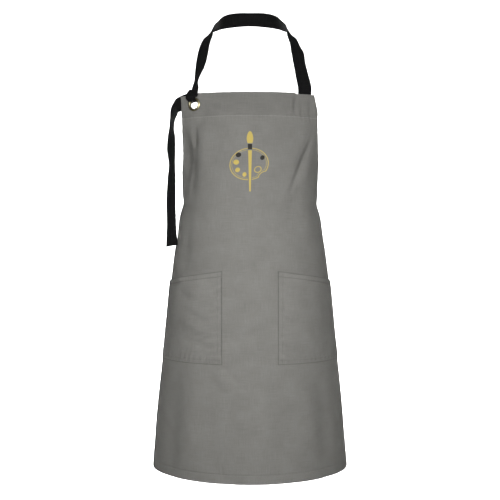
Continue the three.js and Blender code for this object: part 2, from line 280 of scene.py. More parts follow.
def form(z):
    """Half width, half depth and front of the worn shape's level ellipse at one height."""
    if z > WAIST:
        up = (z - WAIST) / BIB_DROP
        front = FRONT + WAIST_SET_BACK + (CHEST_SET_BACK - WAIST_SET_BACK) * up**2
        return FORM_WAIST + (FORM_CHEST - FORM_WAIST) * up**3, DEPTH_WAIST, front
    down = (WAIST - z) / SKIRT_DROP
    flare = down**0.8 * (1 - math.exp(-down / WAIST_EASE))
    return (
        FORM_WAIST + (FORM_HEM - FORM_WAIST) * flare,
        DEPTH_WAIST + (DEPTH_HEM - DEPTH_WAIST) * down,
        FRONT + WAIST_SET_BACK * max(0.0, 1 - down) ** 2,
    )


def half_width(z, side=0):
    """Half the flat width: straight side edges, and armholes that are quarter ellipses. On the
    sewn side, +1, the top corner is cut away; at the eyelet, -1, the strap draws it out."""
    if z < WAIST:
        return WAIST_HALF + (HEM_HALF - WAIST_HALF) * (WAIST - z) / SKIRT_DROP
    down = min(1.0, max(0.0, (BIB_TOP - z) / BIB_DROP))
    corner = max(0.0, 1 - (BIB_TOP - z) / (40 * MM))
    bulge = 3.2 * math.exp(-(((z + 248 * MM) / (38 * MM)) ** 2))
    bulge += 10 * math.exp(-(((z + 302 * MM) / (38 * MM)) ** 2))
    cut = (11 * corner if side > 0 else -2 * corner - bulge if side < 0 else 0) * MM
    return BIB_HALF + (WAIST_HALF - BIB_HALF) * (1 - math.sqrt(1 - down * down)) - cut


def side_of(value):
    return 1 if value > 0 else -1


ANGLES = np.linspace(0, math.pi, 721)


@functools.lru_cache(maxsize=None)
def arc_table(step):
    """Arc length against angle for the ellipse at a height of so many tenths of a millimetre."""
    wide, deep, _ = form(step * 0.1 * MM)
    middle = (ANGLES[1:] + ANGLES[:-1]) / 2
    run = np.hypot(wide * np.cos(middle), deep * np.sin(middle)) * (ANGLES[1] - ANGLES[0])
    return [0.0] + np.cumsum(run).tolist()


def turn_at(across, z):
    lengths = arc_table(round(z / (0.1 * MM)))
    away = abs(across)
    i = min(bisect.bisect_right(lengths, away), len(lengths) - 1)
    share = (away - lengths[i - 1]) / (lengths[i] - lengths[i - 1])
    return math.copysign((i - 1 + share) * math.pi / (len(lengths) - 1), across)


def worn(across, z):
    """Where a point of the flat canvas lies on the smooth worn form, and the way out of it."""
    wide, deep, front = form(z)
    turn = turn_at(across, z)
    sine, cosine = math.sin(turn), math.cos(turn)
    normal = Vector((deep * sine, -wide * cosine, 0)).normalized()
    return Vector((wide * sine, front + deep * (1 - cosine), z)), normal


def outward(across, z):
    return worn(across, z)[1]


def smooth(x):
    x = min(1.0, max(0.0, x))
    return x * x * (3 - 2 * x)


# Folds of the worn canvas: from, to (millimetres across, millimetres below FOLD_ZERO), width and
# height. A negative height is a valley.
FOLD_ZERO = -195 * MM
FOLDS = (
    # the hollow beside the left armhole, and the ridge that bounds it
    ((-168, 78), (-172, 190), 29, -13),
    ((-131, 70), (-132, 116), 8, -4.5),
    ((-136, 110), (-146, 236), 13, -3.5),
    ((-104, 84), (-110, 170), 14, 3.0),
    # the crease that runs in from the right armhole, with its softer neighbours
    ((147, 100), (92, 216), 6.5, -4.6),
    ((158, 128), (118, 226), 13, 2.2),
    ((134, 84), (88, 170), 16, 3.4),
    ((120, 206), (82, 268), 15, -2.6),
    ((150, 236), (128, 330), 16, 2.0),
    # pulls from the eyelet and from the sewn strap
    ((-108, 4), (-52, 26), 6.5, -4.4),
    ((-108, 24), (-56, 42), 8, 2.2),
    ((-98, 34), (-124, 76), 9, -1.8),
    ((104, 0), (100, 40), 5.5, -4.6),
    ((96, 0), (92, 38), 6, 1.5),
    ((116, 22), (120, 52), 6, -1.6),
    ((136, 8), (143, 56), 6, -1.7),
    # the waist
    ((-250, 222), (-120, 262), 13, -2.8),
    ((-255, 250), (-140, 300), 16, 1.8),
    ((250, 225), (130, 268), 12, -2.2),
    ((262, 250), (150, 312), 16, 1.6),
    ((-150, 262), (-163, 384), 15, -2.4),
    ((-330, 245), (-215, 330), 14, -3.0),
    ((330, 245), (240, 320), 14, -1.6),
    ((-185, 370), (-120, 372), 13, -2.2),
    ((168, 372), (120, 376), 14, -1.6),
    # between the pockets
    ((-58, 548), (46, 512), 9, -3.6),
    ((-50, 572), (40, 556), 14, 3.4),
    ((-40, 470), (30, 450), 26, 1.4),
    # the left pocket
    ((-188, 430), (-112, 462), 12, -2.4),
    ((-160, 474), (-80, 506), 9, -3.0),
    ((-158, 502), (-80, 528), 10, 3.0),
    ((-150, 540), (-80, 560), 8, -2.4),
    ((-150, 445), (-110, 425), 13, 2.4),
    ((-172, 448), (-100, 424), 8, -2.6),
    ((-176, 400), (-150, 416), 10, 2.6),
    # the right pocket
    ((92, 430), (160, 462), 14, -1.2),
    ((84, 505), (128, 486), 11, -1.2),
    ((180, 410), (196, 560), 17, -1.8),
    # the skirt below the pockets
    ((-58, 600), (-8, 652), 7, -4.0),
    ((-76, 606), (-30, 664), 12, 3.4),
    ((-124, 618), (-150, 800), 26, 2.6),
    ((-186, 640), (-200, 851), 24, -3.6),
    ((-98, 700), (-60, 851), 26, -2.2),
    ((0, 640), (-10, 851), 36, 1.2),
    ((70, 650), (84, 851), 30, -1.8),
    ((120, 620), (150, 851), 28, 2.0),
    ((172, 640), (196, 851), 24, -3.4),
    ((255, 600), (275, 851), 34, 3.4),
    ((-265, 610), (-285, 851), 34, 3.4),
)


def fold_heights(across, below):
    """The height of every fold at flat points given as arrays, in metres. Each fold is a soft
    ridge or valley along a line, and fades towards the line's ends."""
    height = np.zeros_like(across)
    for (ax, ad), (bx, bd), width, rise in FOLDS:
        ax, ad, run_x, run_d = ax * MM, ad * MM, (bx - ax) * MM, (bd - ad) * MM
        along = ((across - ax) * run_x + (below - ad) * run_d) / (run_x**2 + run_d**2)
        t = np.clip(along, 0, 1)
        off = np.hypot(across - ax - t * run_x, below - ad - t * run_d)
        height += rise * MM * (0.35 + 0.65 * np.sin(math.pi * t)) * np.exp(-((off / (width * MM)) ** 2))
    return height


FOLD_STEP = 2 * MM
FOLD_ACROSS = np.arange(-182, 183) * FOLD_STEP
FOLD_BELOW = np.arange(-5, 430) * FOLD_STEP
FOLD_MAP = fold_heights(*np.meshgrid(FOLD_ACROSS, FOLD_BELOW))


def drape(across, z):
    """How far the canvas stands off the smooth worn form: its folds and a slight unevenness."""
    x = (across - FOLD_ACROSS[0]) / FOLD_STEP
    y = (FOLD_ZERO - z - FOLD_BELOW[0]) / FOLD_STEP
    i = min(max(int(x), 0), len(FOLD_ACROSS) - 2)
    j = min(max(int(y), 0), len(FOLD_BELOW) - 2)
    x, y = x - i, y - j
    low = FOLD_MAP[j][i] * (1 - x) + FOLD_MAP[j][i + 1] * x
    high = FOLD_MAP[j + 1][i] * (1 - x) + FOLD_MAP[j + 1][i + 1] * x
    height = float(low * (1 - y) + high * y)
    spot = Vector((across * 14, z * 9, 2.0))
    height += 0.5 * MM * noise.noise(spot) + 0.22 * MM * noise.noise(spot * 3.1)
    return height * (0.45 + 0.55 * smooth((BIB_TOP - z) / (30 * MM)))


def puckers(along, off, wave=11 * MM, reach=16 * MM, height=0.45 * MM):
    """Ripples that a row of stitches draws into the cloth beside it, dying away from the row."""
    drift = noise.noise(Vector((along * 40, off * 25, 7.0)))
    lean = 0.35 * off
    return height * math.sin(2 * math.pi * (along + lean) / wave + 3 * drift) * math.exp(-abs(off) / reach)


def groove(off, width=1.4 * MM, depth=0.4 * MM):
    return -depth * math.exp(-((off / width) ** 2))


def mouth_z(across):
    return POCKET_TOP - POCKET_SLANT * (across - POCKET_IN)


def panel_relief(across, z):
    """Seam grooves and puckers of the panel."""
    away = abs(across)
    height = 0.0
    band = z - BAND_ROW
    if abs(band) < 50 * MM:
        height += groove(band - 1.5 * MM, 2.2 * MM, 0.7 * MM) + puckers(across, band, height=0.28 * MM)
    edge = half_width(z, side_of(across)) - away
    if edge < 40 * MM:
        off = edge - (SIDE_HEM - FOLD_ROW)
        height += groove(off, depth=0.3 * MM) + puckers(z, off, height=0.3 * MM)
    hem = z - HEM_ROW
    if abs(hem) < 40 * MM:
        height += groove(hem, depth=0.5 * MM) + puckers(across, hem, height=0.35 * MM)
    side = POCKET_IN - away
    if 0 < side < 40 * MM and POCKET_BOTTOM < z < POCKET_TOP:
        height += puckers(z, side, height=0.5 * MM)
    under = POCKET_BOTTOM - z
    if 0 < under < 40 * MM and away > POCKET_IN:
        height += puckers(across, under, height=0.45 * MM)
    return height


def corner_drop(across, z):
    """How far the strap at each top corner draws the cloth down."""
    if BIB_TOP - z > 90 * MM:
        return 0.0
    drop = 5.2 * smooth((-across / MM - 116) / 24) + 2.6 * smooth((across / MM - 98) / 9)
    return drop * MM * math.exp(-(BIB_TOP - z) / (18 * MM))


def cloth(across, z, out=0.0, relief=True):
    """A point of the worn canvas, and so far in front of the panel's inner face."""
    point, normal = worn(across, z)
    point.z = z - corner_drop(across, z)
    height = out + drape(across, z) + (panel_relief(across, z) if relief else 0.0)
    return point + normal * height


def pocket_out(across, z, gape):
    """How far a pocket stands off the panel: sewn down at three edges, open at its mouth."""
    s = min(1.0, max(0.0, (across - POCKET_IN) / (POCKET_OUT - POCKET_IN)))
    t = min(1.0, max(0.0, (z - POCKET_BOTTOM) / (mouth_z(across) - POCKET_BOTTOM)))
    rise = gape * max(0.0, math.sin(math.pi * s**0.45)) ** 2.2 * t**0.9
    inner = across - POCKET_IN
    low = z - POCKET_BOTTOM
    pressed = smooth(min(inner, low) / (9 * MM))
    height = CLOTH + 0.25 * MM + rise * pressed
    height += puckers(z, inner - 5 * MM, wave=19 * MM, reach=26 * MM, height=2.2 * MM) * pressed
    height += puckers(across, low - 5 * MM, wave=15 * MM, reach=16 * MM, height=0.9 * MM) * pressed
    for row in POCKET_ROWS:
        height += groove(inner - row, 1.3 * MM, 0.5 * MM) + groove(low - row, 1.3 * MM, 0.5 * MM)
    height += groove(z - mouth_z(across) + MOUTH_ROW, 1.6 * MM, 0.8 * MM) * pressed
    return height


# ---------------------------------------------------------------------------------------------
# Meshes


def finish_mesh(name, bm, material, body=None, slot=None, nodes=()):
    """A smooth piece from a bmesh. A piece that blends across a joint is given no body."""
    mesh = bpy.data.meshes.new(name)
    bm.to_mesh(mesh)
    bm.free()
    mesh.polygons.foreach_set("use_smooth", [True] * len(mesh.polygons))
    mesh.materials.append(material)
    piece = bpy.data.objects.new(name, mesh)
    bpy.context.scene.collection.objects.link(piece)
    if body:
        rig.ride(piece, body)
    if slot:
        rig.slot(piece, slot)
    if nodes:
        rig.replaces(piece, *nodes)
    return piece


def grid(columns, rows, place, uv=None):
    """A grid of the given parameter values, from 0 to 1, whose points place(s, t) moves."""
    bm = bmesh.new()
    bmesh.ops.create_grid(bm, x_segments=len(columns) - 1, y_segments=len(rows) - 1, size=0.5)
    bm.verts.ensure_lookup_table()
    index = {}
    for v in bm.verts:
        i = round((v.co.x + 0.5) * (len(columns) - 1))
        j = round((v.co.y + 0.5) * (len(rows) - 1))
        index[v] = (columns[i], rows[j])
    if uv:
        layer = bm.loops.layers.uv.new("cloth")
        for face in bm.faces:
            for loop in face.loops:
                loop[layer].uv = uv(*index[loop.vert])
    for v, (s, t) in index.items():
        v.co = place(s, t)
    return bm


def uncrowded(values, least):
    """The values in order, without those that crowd the one before; both ends stay."""
    values = sorted(set(values))
    kept = values[:1]
    for value in values[1:]:
        if value - kept[-1] > least:
            kept.append(value)
    kept[-1] = values[-1]
    return kept


def spread(count, extras=(), least=0.0):
    """Evenly spaced values from 0 to 1 with extra ones where a seam needs them."""
    values = [i / count for i in range(count + 1)] + [extra for extra in extras if 0 < extra < 1]
    return uncrowded([round(value, 6) for value in values], least)


def sheet_of_cloth(name, node, columns, rows, lay, material=None, slot="canvas", thickness=CLOTH):
    """A layer of canvas. lay(s, t) gives its outer face's point and its place on the flat cut."""
    bm = grid(columns, rows, lambda s, t: lay(s, t)[0], lambda s, t: lay(s, t)[1])
    piece = finish_mesh(name, bm, material or MATERIALS["canvas"], "apron", slot, (node,))
    solid = piece.modifiers.new("thickness", "SOLIDIFY")
    solid.thickness = thickness
    solid.offset = -1
    solid.use_even_offset = False
    return piece


def smooth_path(points, steps):
    """Points of a centripetal Catmull-Rom curve through the stations, with their parameters."""
    points = [Vector(p) for p in points]
    ends = [2 * points[0] - points[1]] + points + [2 * points[-1] - points[-2]]
    last = len(points) - 1
    out = []
    for k in range(steps + 1):
        at = k / steps * last
        i = min(int(at), last - 1)
        w = at - i
        p0, p1, p2, p3 = ends[i : i + 4]
        gaps = [max(math.sqrt((b - a).length), 1e-6) for a, b in ((p0, p1), (p1, p2), (p2, p3))]
        t0, t1 = 0.0, gaps[0]
        t2 = t1 + gaps[1]
        t3 = t2 + gaps[2]
        t = t1 + (t2 - t1) * w
        a1 = p0 * ((t1 - t) / (t1 - t0)) + p1 * ((t - t0) / (t1 - t0))
        a2 = p1 * ((t2 - t) / (t2 - t1)) + p2 * ((t - t1) / (t2 - t1))
        a3 = p2 * ((t3 - t) / (t3 - t2)) + p3 * ((t - t2) / (t3 - t2))
        b1 = a1 * ((t2 - t) / (t2 - t0)) + a2 * ((t - t0) / (t2 - t0))
        b2 = a2 * ((t3 - t) / (t3 - t1)) + a3 * ((t - t1) / (t3 - t1))
        out.append((b1 * ((t2 - t) / (t2 - t1)) + b2 * ((t - t1) / (t2 - t1)), at))
    return out


def eyelet_frame():
    """The eyelet's centre on the panel's inner face, the way out of the cloth, and level along it."""
    normal = outward(EYELET_ACROSS, EYELET_Z)
    return cloth(EYELET_ACROSS, EYELET_Z, 0, False), normal, Vector((-normal.y, normal.x, 0))


def punch(piece):
    """Open the eyelet's hole: the faces inside the flange are cut away."""
    centre, normal, _ = eyelet_frame()
    bm = bmesh.new()
    bm.from_mesh(piece.data)
    gone = []
    for face in bm.faces:
        off = face.calc_center_median() - centre
        if (off - normal * off.dot(normal)).length < EYELET_HOLE + 1.6 * MM:
            gone.append(face)
    bmesh.ops.delete(bm, geom=gone, context="FACES")
    bm.to_mesh(piece.data)
    bm.free()


def webbing(name, nodes, stations, steps, body, seed, width=WEBBING, ripple=0.5 * MM, cut=0.0, lie=None):
    """Flat woven webbing along a path. A station is a point, a width direction, how far the
    webbing is rolled across its width, and how far it is gathered, from 0 to 1. lie moves the
    points that are sewn to the cloth. Returns the piece, its centre line and its length."""
    stations = [tuple(s) + (0.0,) * (4 - len(s)) for s in stations]
    centres = smooth_path([s[0] for s in stations], steps)
    widths = smooth_path([Vector(s[1]) for s in stations], steps)
    last = len(stations) - 1
    frames = []
    run = 0.0
    for k, (point, at) in enumerate(centres):
        before = centres[max(0, k - 1)][0]
        after = centres[min(steps, k + 1)][0]
        along = (after - before).normalized()
        wide = widths[k][0]
        wide = (wide - along * wide.dot(along)).normalized()
        i = min(int(at), last - 1)
        share = smooth(at - i)
        cup, gather = (stations[i][c] + (stations[i + 1][c] - stations[i][c]) * share for c in (2, 3))
        if k:
            run += (point - centres[k - 1][0]).length
        frames.append((point, wide, along, cup, gather, run))

    def place(s, t):
        point, wide, along, cup, gather, far = frames[round(t * steps)]
        normal = along.cross(wide)
        turn = 2 * math.pi * s
        flat = math.copysign(abs(math.cos(turn)) ** 0.35, math.cos(turn))
        thick = math.copysign(abs(math.sin(turn)) ** 0.55, math.sin(turn))
        gathered = width * (1 - 0.53 * gather)
        x = flat * gathered / 2
        y = thick * WEBBING_THICK / 2 * (1 + 1.5 * gather * (1 - 0.6 * abs(flat) ** 3))
        pleat = math.sin(flat * 5.2 + seed + 2.2 * noise.noise(Vector((0.4 * seed, far * 24, 1.0))))
        fine = math.sin(flat * 11.5 + 2 * seed)
        wave = (0.85 * pleat + 0.3 * fine) * MM * gather
        wave += ripple * noise.noise(Vector((flat * 0.5, far * 22, seed)))
        wave += 0.35 * ripple * noise.noise(Vector((flat * 1.4, far * 70, seed + 5)))
        slant = cut * x * smooth((far - run + 40 * MM) / (40 * MM))
        if abs(cup) > 0.01:
            radius = gathered / cup
            bent = x / radius
            side, out = (radius - y) * math.sin(bent), radius - (radius - y) * math.cos(bent)
        else:
            side, out = x, y
        found = point + wide * side + normal * (out + wave) + along * slant
        return lie(found, x, y) if lie else found

    def flat_place(s, t):
        return abs(((s + 0.25) % 1) * 2 - 1) * width, t * run

    bm = grid(spread(WEBBING_SIDES), spread(steps), place, flat_place)
    bmesh.ops.remove_doubles(bm, verts=bm.verts, dist=1e-6)
    bmesh.ops.holes_fill(bm, edges=[e for e in bm.edges if e.is_boundary], sides=0)
    bmesh.ops.recalc_face_normals(bm, faces=bm.faces)
    piece = finish_mesh(name, bm, MATERIALS["webbing"], body, "webbing", nodes)
    return piece, [f[0] for f in frames], run


def limp_cord(strap, far_end):
    """Declare a strap, as webbing() returns it, as a limp hanging cord."""
    piece, path, run = strap
    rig.cord(piece, exit=path[0], length=run, diameter=WEBBING, far_end=far_end,
            stiffness="limp", lay="hanging", path=path)
    return piece


def stitch_rows(name, rows, thread="thread", slot="canvas", length=3.4 * MM, width=0.62 * MM):
    """Rows of thread: each row is a list of (point, outward direction), and each stitch is a
    small rounded bar lying on the cloth."""
    bar = bmesh.new()
    size = Matrix.Diagonal((length / 2, width / 2, width * 0.42, 1))
    bmesh.ops.create_uvsphere(bar, u_segments=6, v_segments=5, radius=1, matrix=size)
    stitch = bpy.data.meshes.new(name + "_one")
    bar.to_mesh(stitch)
    bar.free()
    bm = bmesh.new()
    for row in rows:
        total = 0.0
        marks = [0.0]
        for (a, _), (b, _) in zip(row, row[1:]):
            total += (b - a).length
            marks.append(total)
        count = max(1, int(total / (length * 1.22)))
        for k in range(count):
            at = (k + 0.5) / count * total
            i = min(len(row) - 2, max(0, bisect.bisect_right(marks, at) - 1))
            share = (at - marks[i]) / max(marks[i + 1] - marks[i], 1e-9)
            point = row[i][0].lerp(row[i + 1][0], share)
            along = (row[i + 1][0] - row[i][0]).normalized()
            normal = row[i][1].lerp(row[i + 1][1], share)
            normal = (normal - along * normal.dot(along)).normalized()
            turn = Matrix((along, normal.cross(along), normal)).transposed().to_4x4()
            place = Matrix.Translation(point + normal * 0.1 * MM) @ turn
            stitch.transform(place)
            bm.from_mesh(stitch)
            stitch.transform(place.inverted())
    bpy.data.meshes.remove(stitch)
    finish_mesh(name, bm, MATERIALS[thread], "apron", slot)


def seam(points):
    """A row of stitches on the panel, from flat points (across, z)."""
    return [(cloth(a, z, CLOTH), outward(a, z)) for a, z in points]


def line(a, b, count):
    return [(a[0] + (b[0] - a[0]) * i / count, a[1] + (b[1] - a[1]) * i / count) for i in range(count + 1)]


# ---------------------------------------------------------------------------------------------
# Materials

MATERIALS = {}


def feed(value, socket):
    """Give a node's input a fixed value, or link a Wire to it."""
    if isinstance(value, Wire):
        socket.id_data.links.new(value.socket, socket)
    else:
        socket.default_value = value


def calc(tree, operation, *values):
    node = tree.nodes.new("ShaderNodeMath")
    node.operation = operation
    for value, socket in zip(values, node.inputs):
        feed(value, socket)
    return Wire(node.outputs[0])


class Wire:
    """A value in a shader tree. Arithmetic on it adds Math nodes."""

    def __init__(self, socket):
        self.socket = socket
        self.tree = socket.id_data

    def does(self, operation, *others):
        return calc(self.tree, operation, self, *others)

    def clamped(self):
        self.socket.node.use_clamp = True
        return self

    def __add__(self, other):
        return self.does("ADD", other)

    def __sub__(self, other):
        return self.does("SUBTRACT", other)

    def __rsub__(self, other):
        return calc(self.tree, "SUBTRACT", other, self)

    def __mul__(self, other):
        return self.does("MULTIPLY", other)

    def __truediv__(self, other):
        return self.does("DIVIDE", other)

    def __gt__(self, other):
        return self.does("GREATER_THAN", other)

    def __abs__(self):
        return self.does("ABSOLUTE")


def new_group(name, inputs, outputs):
    """A shader group of numbers that reads a flat coordinate: its inputs, and a function that
    joins its results and returns it."""
    tree = bpy.data.node_groups.new(name, "ShaderNodeTree")
    tree.interface.new_socket("Coordinate", in_out="INPUT", socket_type="NodeSocketVector")
    for label, value in inputs.items():
        socket = tree.interface.new_socket(label, in_out="INPUT", socket_type="NodeSocketFloat")
        socket.default_value = value
    for label in outputs:
        tree.interface.new_socket(label, in_out="OUTPUT", socket_type="NodeSocketFloat")
    given = tree.nodes.new("NodeGroupInput")
    out = tree.nodes.new("NodeGroupOutput")

    def finish(**results):
        for label, wire in results.items():
            feed(wire, out.inputs[label])
        return tree

    return [Wire(given.outputs[k]) for k in range(len(inputs) + 1)], finish


def flat_parts(coordinate):
    """The distance across and the height, or the distance along, of a flat coordinate."""
    node = coordinate.tree.nodes.new("ShaderNodeSeparateXYZ")
    feed(coordinate, node.inputs[0])
    return Wire(node.outputs[0]), Wire(node.outputs[1])


def noisy(vector, scale, detail=3.0, rough=0.55):
    node = vector.tree.nodes.new("ShaderNodeTexNoise")
    for label, value in (("Vector", vector), ("Scale", scale), ("Detail", detail), ("Roughness", rough)):
        feed(value, node.inputs[label])
    return Wire(node.outputs["Fac"])


def stretched(vector, scale):
    node = vector.tree.nodes.new("ShaderNodeMapping")
    feed(scale, node.inputs["Scale"])
    feed(vector, node.inputs["Vector"])
    return Wire(node.outputs[0])


def plain_weave_group():
    """Plain weave: thread height, slubs in both directions, and a broad mottle."""
    (coordinate, pitch), finish = new_group("plain weave", {"Pitch": 0.75 * MM}, ("Height", "Slub", "Mottle"))
    across, down = flat_parts(coordinate)
    u, v = across / pitch, down / pitch
    over = abs((u.does("FLOOR") + v.does("FLOOR")).does("MODULO", 2.0))
    warp = abs((u * math.pi).does("SINE"))
    weft = abs((v * math.pi).does("SINE"))
    height = over * (warp * (weft + 0.55)) + (1.0 - over) * (weft * (warp + 0.55))
    slub = noisy(stretched(coordinate, (28, 900, 1)), 1.0, 2.0)
    slub = slub + noisy(stretched(coordinate, (900, 34, 1)), 1.0, 2.0)
    return finish(Height=height, Slub=slub * 0.5, Mottle=noisy(coordinate, 22.0, 4.0))


def seam_group():
    """Lines of painted light where cloth meets cloth: painted shadow along the pockets' sewn edges, rows and mouths
    and the bottom hem's edge, a painted highlight along the facing's stitching, and the doubled band above it.
    """
    (coordinate,), finish = new_group("seam marks", {}, ("Dark", "Pale", "Doubled"))
    across, up = flat_parts(coordinate)
    away = abs(across)

    def near_line(value, at, width):
        return (1.4 - abs(value - at) / width).clamped()

    mouth = (away - POCKET_IN) * -POCKET_SLANT + POCKET_TOP
    sewn = (up > POCKET_BOTTOM - 1 * MM) * (mouth + 1 * MM > up)
    over = away > POCKET_IN - 1 * MM
    # painted shadow: dark lines along each pocket's sewn edges and rows, its mouth and the row below it, and the
    # bottom hem's edge
    dark = near_line(away, POCKET_IN, 1.1 * MM) * sewn
    for value, at, width, share, where in (
        (away, POCKET_IN + POCKET_ROWS[1], 0.7 * MM, 0.45, sewn),
        (up, POCKET_BOTTOM, 1.0 * MM, 0.8, over),
        (up, POCKET_BOTTOM + POCKET_ROWS[1], 0.7 * MM, 0.35, over),
        (up, mouth, 1.2 * MM, 0.75, over),
        (up, mouth - MOUTH_ROW, 1.0 * MM, 0.7, over),
        (up, HEM + BOTTOM_HEM, 0.8 * MM, 0.25, 1.0),
    ):
        dark = dark.does("MAXIMUM", near_line(value, at, width) * where * share)
    # painted highlight: a light line along the ridge of the facing's stitching
    return finish(Dark=dark, Pale=near_line(up, BAND_ROW, 0.9 * MM), Doubled=up > BAND_ROW)


def ribbed_weave_group():
    """Webbing: raised chevron ribs crossed by fine yarns, and fuzz."""
    (coordinate, rib, width), finish = new_group(
        "ribbed weave", {"Rib": 1.7 * MM, "Width": WEBBING}, ("Height", "Fuzz")
    )
    across, down = flat_parts(coordinate)
    lift = (across / width * 4.0).does("PINGPONG", 1.0) * (width * 0.25)
    ribs = ((down + lift) / (rib * 0.159)).does("SINE")
    yarns = (across * (2 * math.pi / (0.8 * MM))).does("SINE")
    return finish(Height=ribs * 0.7 + yarns * 0.3, Fuzz=noisy(coordinate, 420.0, 4.0, 0.7))


def print_group():
    """The screen print on the bib: a painter's palette with a thumb hole and dabs of paint, and
    an upright brush over it. Sizes are in millimetres; the two results are masks."""
    (coordinate, centre, soft), finish = new_group(
        "palette print", {"Centre": PRINT_Z, "Soft edge": 0.35 * MM}, ("Gold", "Dark")
    )
    x, height = flat_parts(coordinate)
    z = height - centre

    def inside(distance):
        """1 where a distance in metres is below zero, with a soft edge."""
        return (0.5 - distance / soft).clamped()

    def ellipse(cx, cz, rx, rz, tilt=0.0):
        dx, dz = x - cx * MM, z - cz * MM
        c, s = math.cos(tilt), math.sin(tilt)
        px = (dx * c + dz * s) / (rx * MM)
        pz = (dz * c - dx * s) / (rz * MM)
        return ((px * px + pz * pz).does("SQRT") - 1.0) * (min(rx, rz) * MM)

    def without(a, b):
        return a * (1.0 - b)

    def either(a, *others):
        for other in others:
            a = a.does("MAXIMUM", other)
        return a

    def between(low, high):
        return inside(low * MM - z) * inside(z - high * MM)

    plate = either(ellipse(-2, -6, 43, 35, 0.18), ellipse(33, -35, 15, 12, 0.5) * -1.0)
    filled = inside(plate)
    outline = without(filled, inside(plate + 1.5 * MM))
    fine_line = inside(abs(plate + 4.2 * MM) - 0.3 * MM) * filled
    thumb_ring = inside(abs(ellipse(17, -18, 7.5, 6, 0.5)) - 0.75 * MM)
    spots = ((-30, -2, 6.4), (-25, 14, 6.0), (-27, -19, 5.6), (27, 8, 5.4), (-12, -29, 5.0))
    dabs = [inside(ellipse(cx, cz, r, r * 0.86, 0.3 * k)) for k, (cx, cz, r) in enumerate(spots)]
    reach = abs(x)
    taper = (z + 66 * MM) * 0.028 + 1.6 * MM
    handle = inside(reach - taper) * between(-66, 24)
    collar = inside(reach - 4.6 * MM) * between(26, 38)
    swell = (z - 50 * MM) * (1 / (17 * MM))
    swell = (1.0 - swell * swell).clamped()
    tuft = inside(reach - swell.does("POWER", 0.7) * (7 * MM)) * between(39.5, 66)
    margin = inside(reach - (taper + 1.6 * MM))
    gold = without(either(outline, fine_line, thumb_ring, *dabs[::2]), margin * between(-66, 26))
    dark = without(either(*dabs[1::2]), margin)
    return finish(Gold=either(gold, handle, tuft), Dark=either(dark, collar))


def new_material(name):
    """A material, its tree, and a function that sets or links its shader's inputs."""
    material = bpy.data.materials.new(name)
    material.use_nodes = True
    tree = material.node_tree
    shader = tree.nodes["Principled BSDF"]

    def finish(inputs):
        for label, value in inputs.items():
            feed(value, shader.inputs[label])
        return material

    return tree, finish


def placed(tree, key, **values):
    """A shared group placed in a material and fed with the piece's flat coordinate: its outputs."""
    uv = tree.nodes.new("ShaderNodeUVMap")
    uv.uv_map = "cloth"
    node = tree.nodes.new("ShaderNodeGroup")
    node.node_tree = MATERIALS[key]
    feed(Wire(uv.outputs[0]), node.inputs["Coordinate"])
    for label, value in values.items():
        feed(value, node.inputs[label])
    return {socket.name: Wire(socket) for socket in node.outputs}


def own_place(tree):
    return Wire(tree.nodes.new("ShaderNodeTexCoord").outputs["Object"])


def mixed(share, a, b, kind="MIX"):
    tree = next(value.tree for value in (share, a, b) if isinstance(value, Wire))
    node = tree.nodes.new("ShaderNodeMix")
    node.data_type = "RGBA"
    node.blend_type = kind
    first, second = [s for s in node.inputs if s.type == "RGBA"]
    for value, socket in ((share, node.inputs["Factor"]), (a, first), (b, second)):
        feed(value, socket)
    return Wire([s for s in node.outputs if s.type == "RGBA"][0])


def ramp(value, low, high):
    node = value.tree.nodes.new("ShaderNodeMapRange")
    for label, given in (("Value", value), ("From Min", low), ("From Max", high)):
        feed(given, node.inputs[label])
    return Wire(node.outputs["Result"])


def bumped(height, distance, strength, normal=None):
    node = height.tree.nodes.new("ShaderNodeBump")
    if normal is not None:
        feed(normal, node.inputs["Normal"])
    for label, value in (("Strength", strength), ("Distance", distance), ("Height", height)):
        feed(value, node.inputs[label])
    return Wire(node.outputs[0])


def tint(colour, share=1.0):
    return tuple(min(1.0, c * share) for c in colour) + (1,)


def canvas_material(name, colour, printed=False):
    tree, finish = new_material(name)
    weave = placed(tree, "plain weave", Pitch=0.8 * MM)
    seams = placed(tree, "seam marks")
    tone = mixed(ramp(weave["Slub"], 0.34, 0.66), tint(colour, 0.91), tint(colour, 1.09))
    # Mottle is the cloth's random tone. Height is painted shade and highlight: the weave's hollows are drawn darker
    # and its crowns a little lighter.
    for key, low, high, deep, pale in (("Mottle", 0.3, 0.7, 0.93, 1.05), ("Height", 0.0, 0.9, 0.8, 1.03)):
        shade = mixed(ramp(weave[key], low, high), (deep, deep, deep, 1), (pale, pale, pale, 1))
        tone = mixed(1.0, tone, shade, "MULTIPLY")
    tone = mixed(seams["Doubled"] * 0.09, tone, (0, 0, 0, 1))
    # painted highlight: a lighter line along the facing's stitched ridge
    tone = mixed(seams["Pale"] * 0.3, tone, (0.5, 0.49, 0.46, 1))
    # painted shadow: the seam group's dark lines along the pockets' edges, mouths and rows and the hem's edge
    tone = mixed(seams["Dark"] * 0.36, tone, (0.03, 0.03, 0.028, 1))
    if printed:
        mark = placed(tree, "palette print", Centre=PRINT_Z)
        ink = ramp(weave["Slub"], 0.2, 0.42) * 0.24 + 0.72
        tone = mixed(mark["Gold"] * ink, tone, (0.71, 0.55, 0.15, 1))
        tone = mixed(mark["Dark"] * ink, tone, (0.035, 0.033, 0.03, 1))
    soft = bumped(weave["Slub"], 0.25 * MM, 0.5)
    return finish({
        "Base Color": tone, "Roughness": 0.92, "Specular IOR Level": 0.25, "Sheen Weight": 0.03,
        "Sheen Roughness": 0.6, "Normal": bumped(weave["Height"], 0.28 * MM, 0.75, soft),
    })


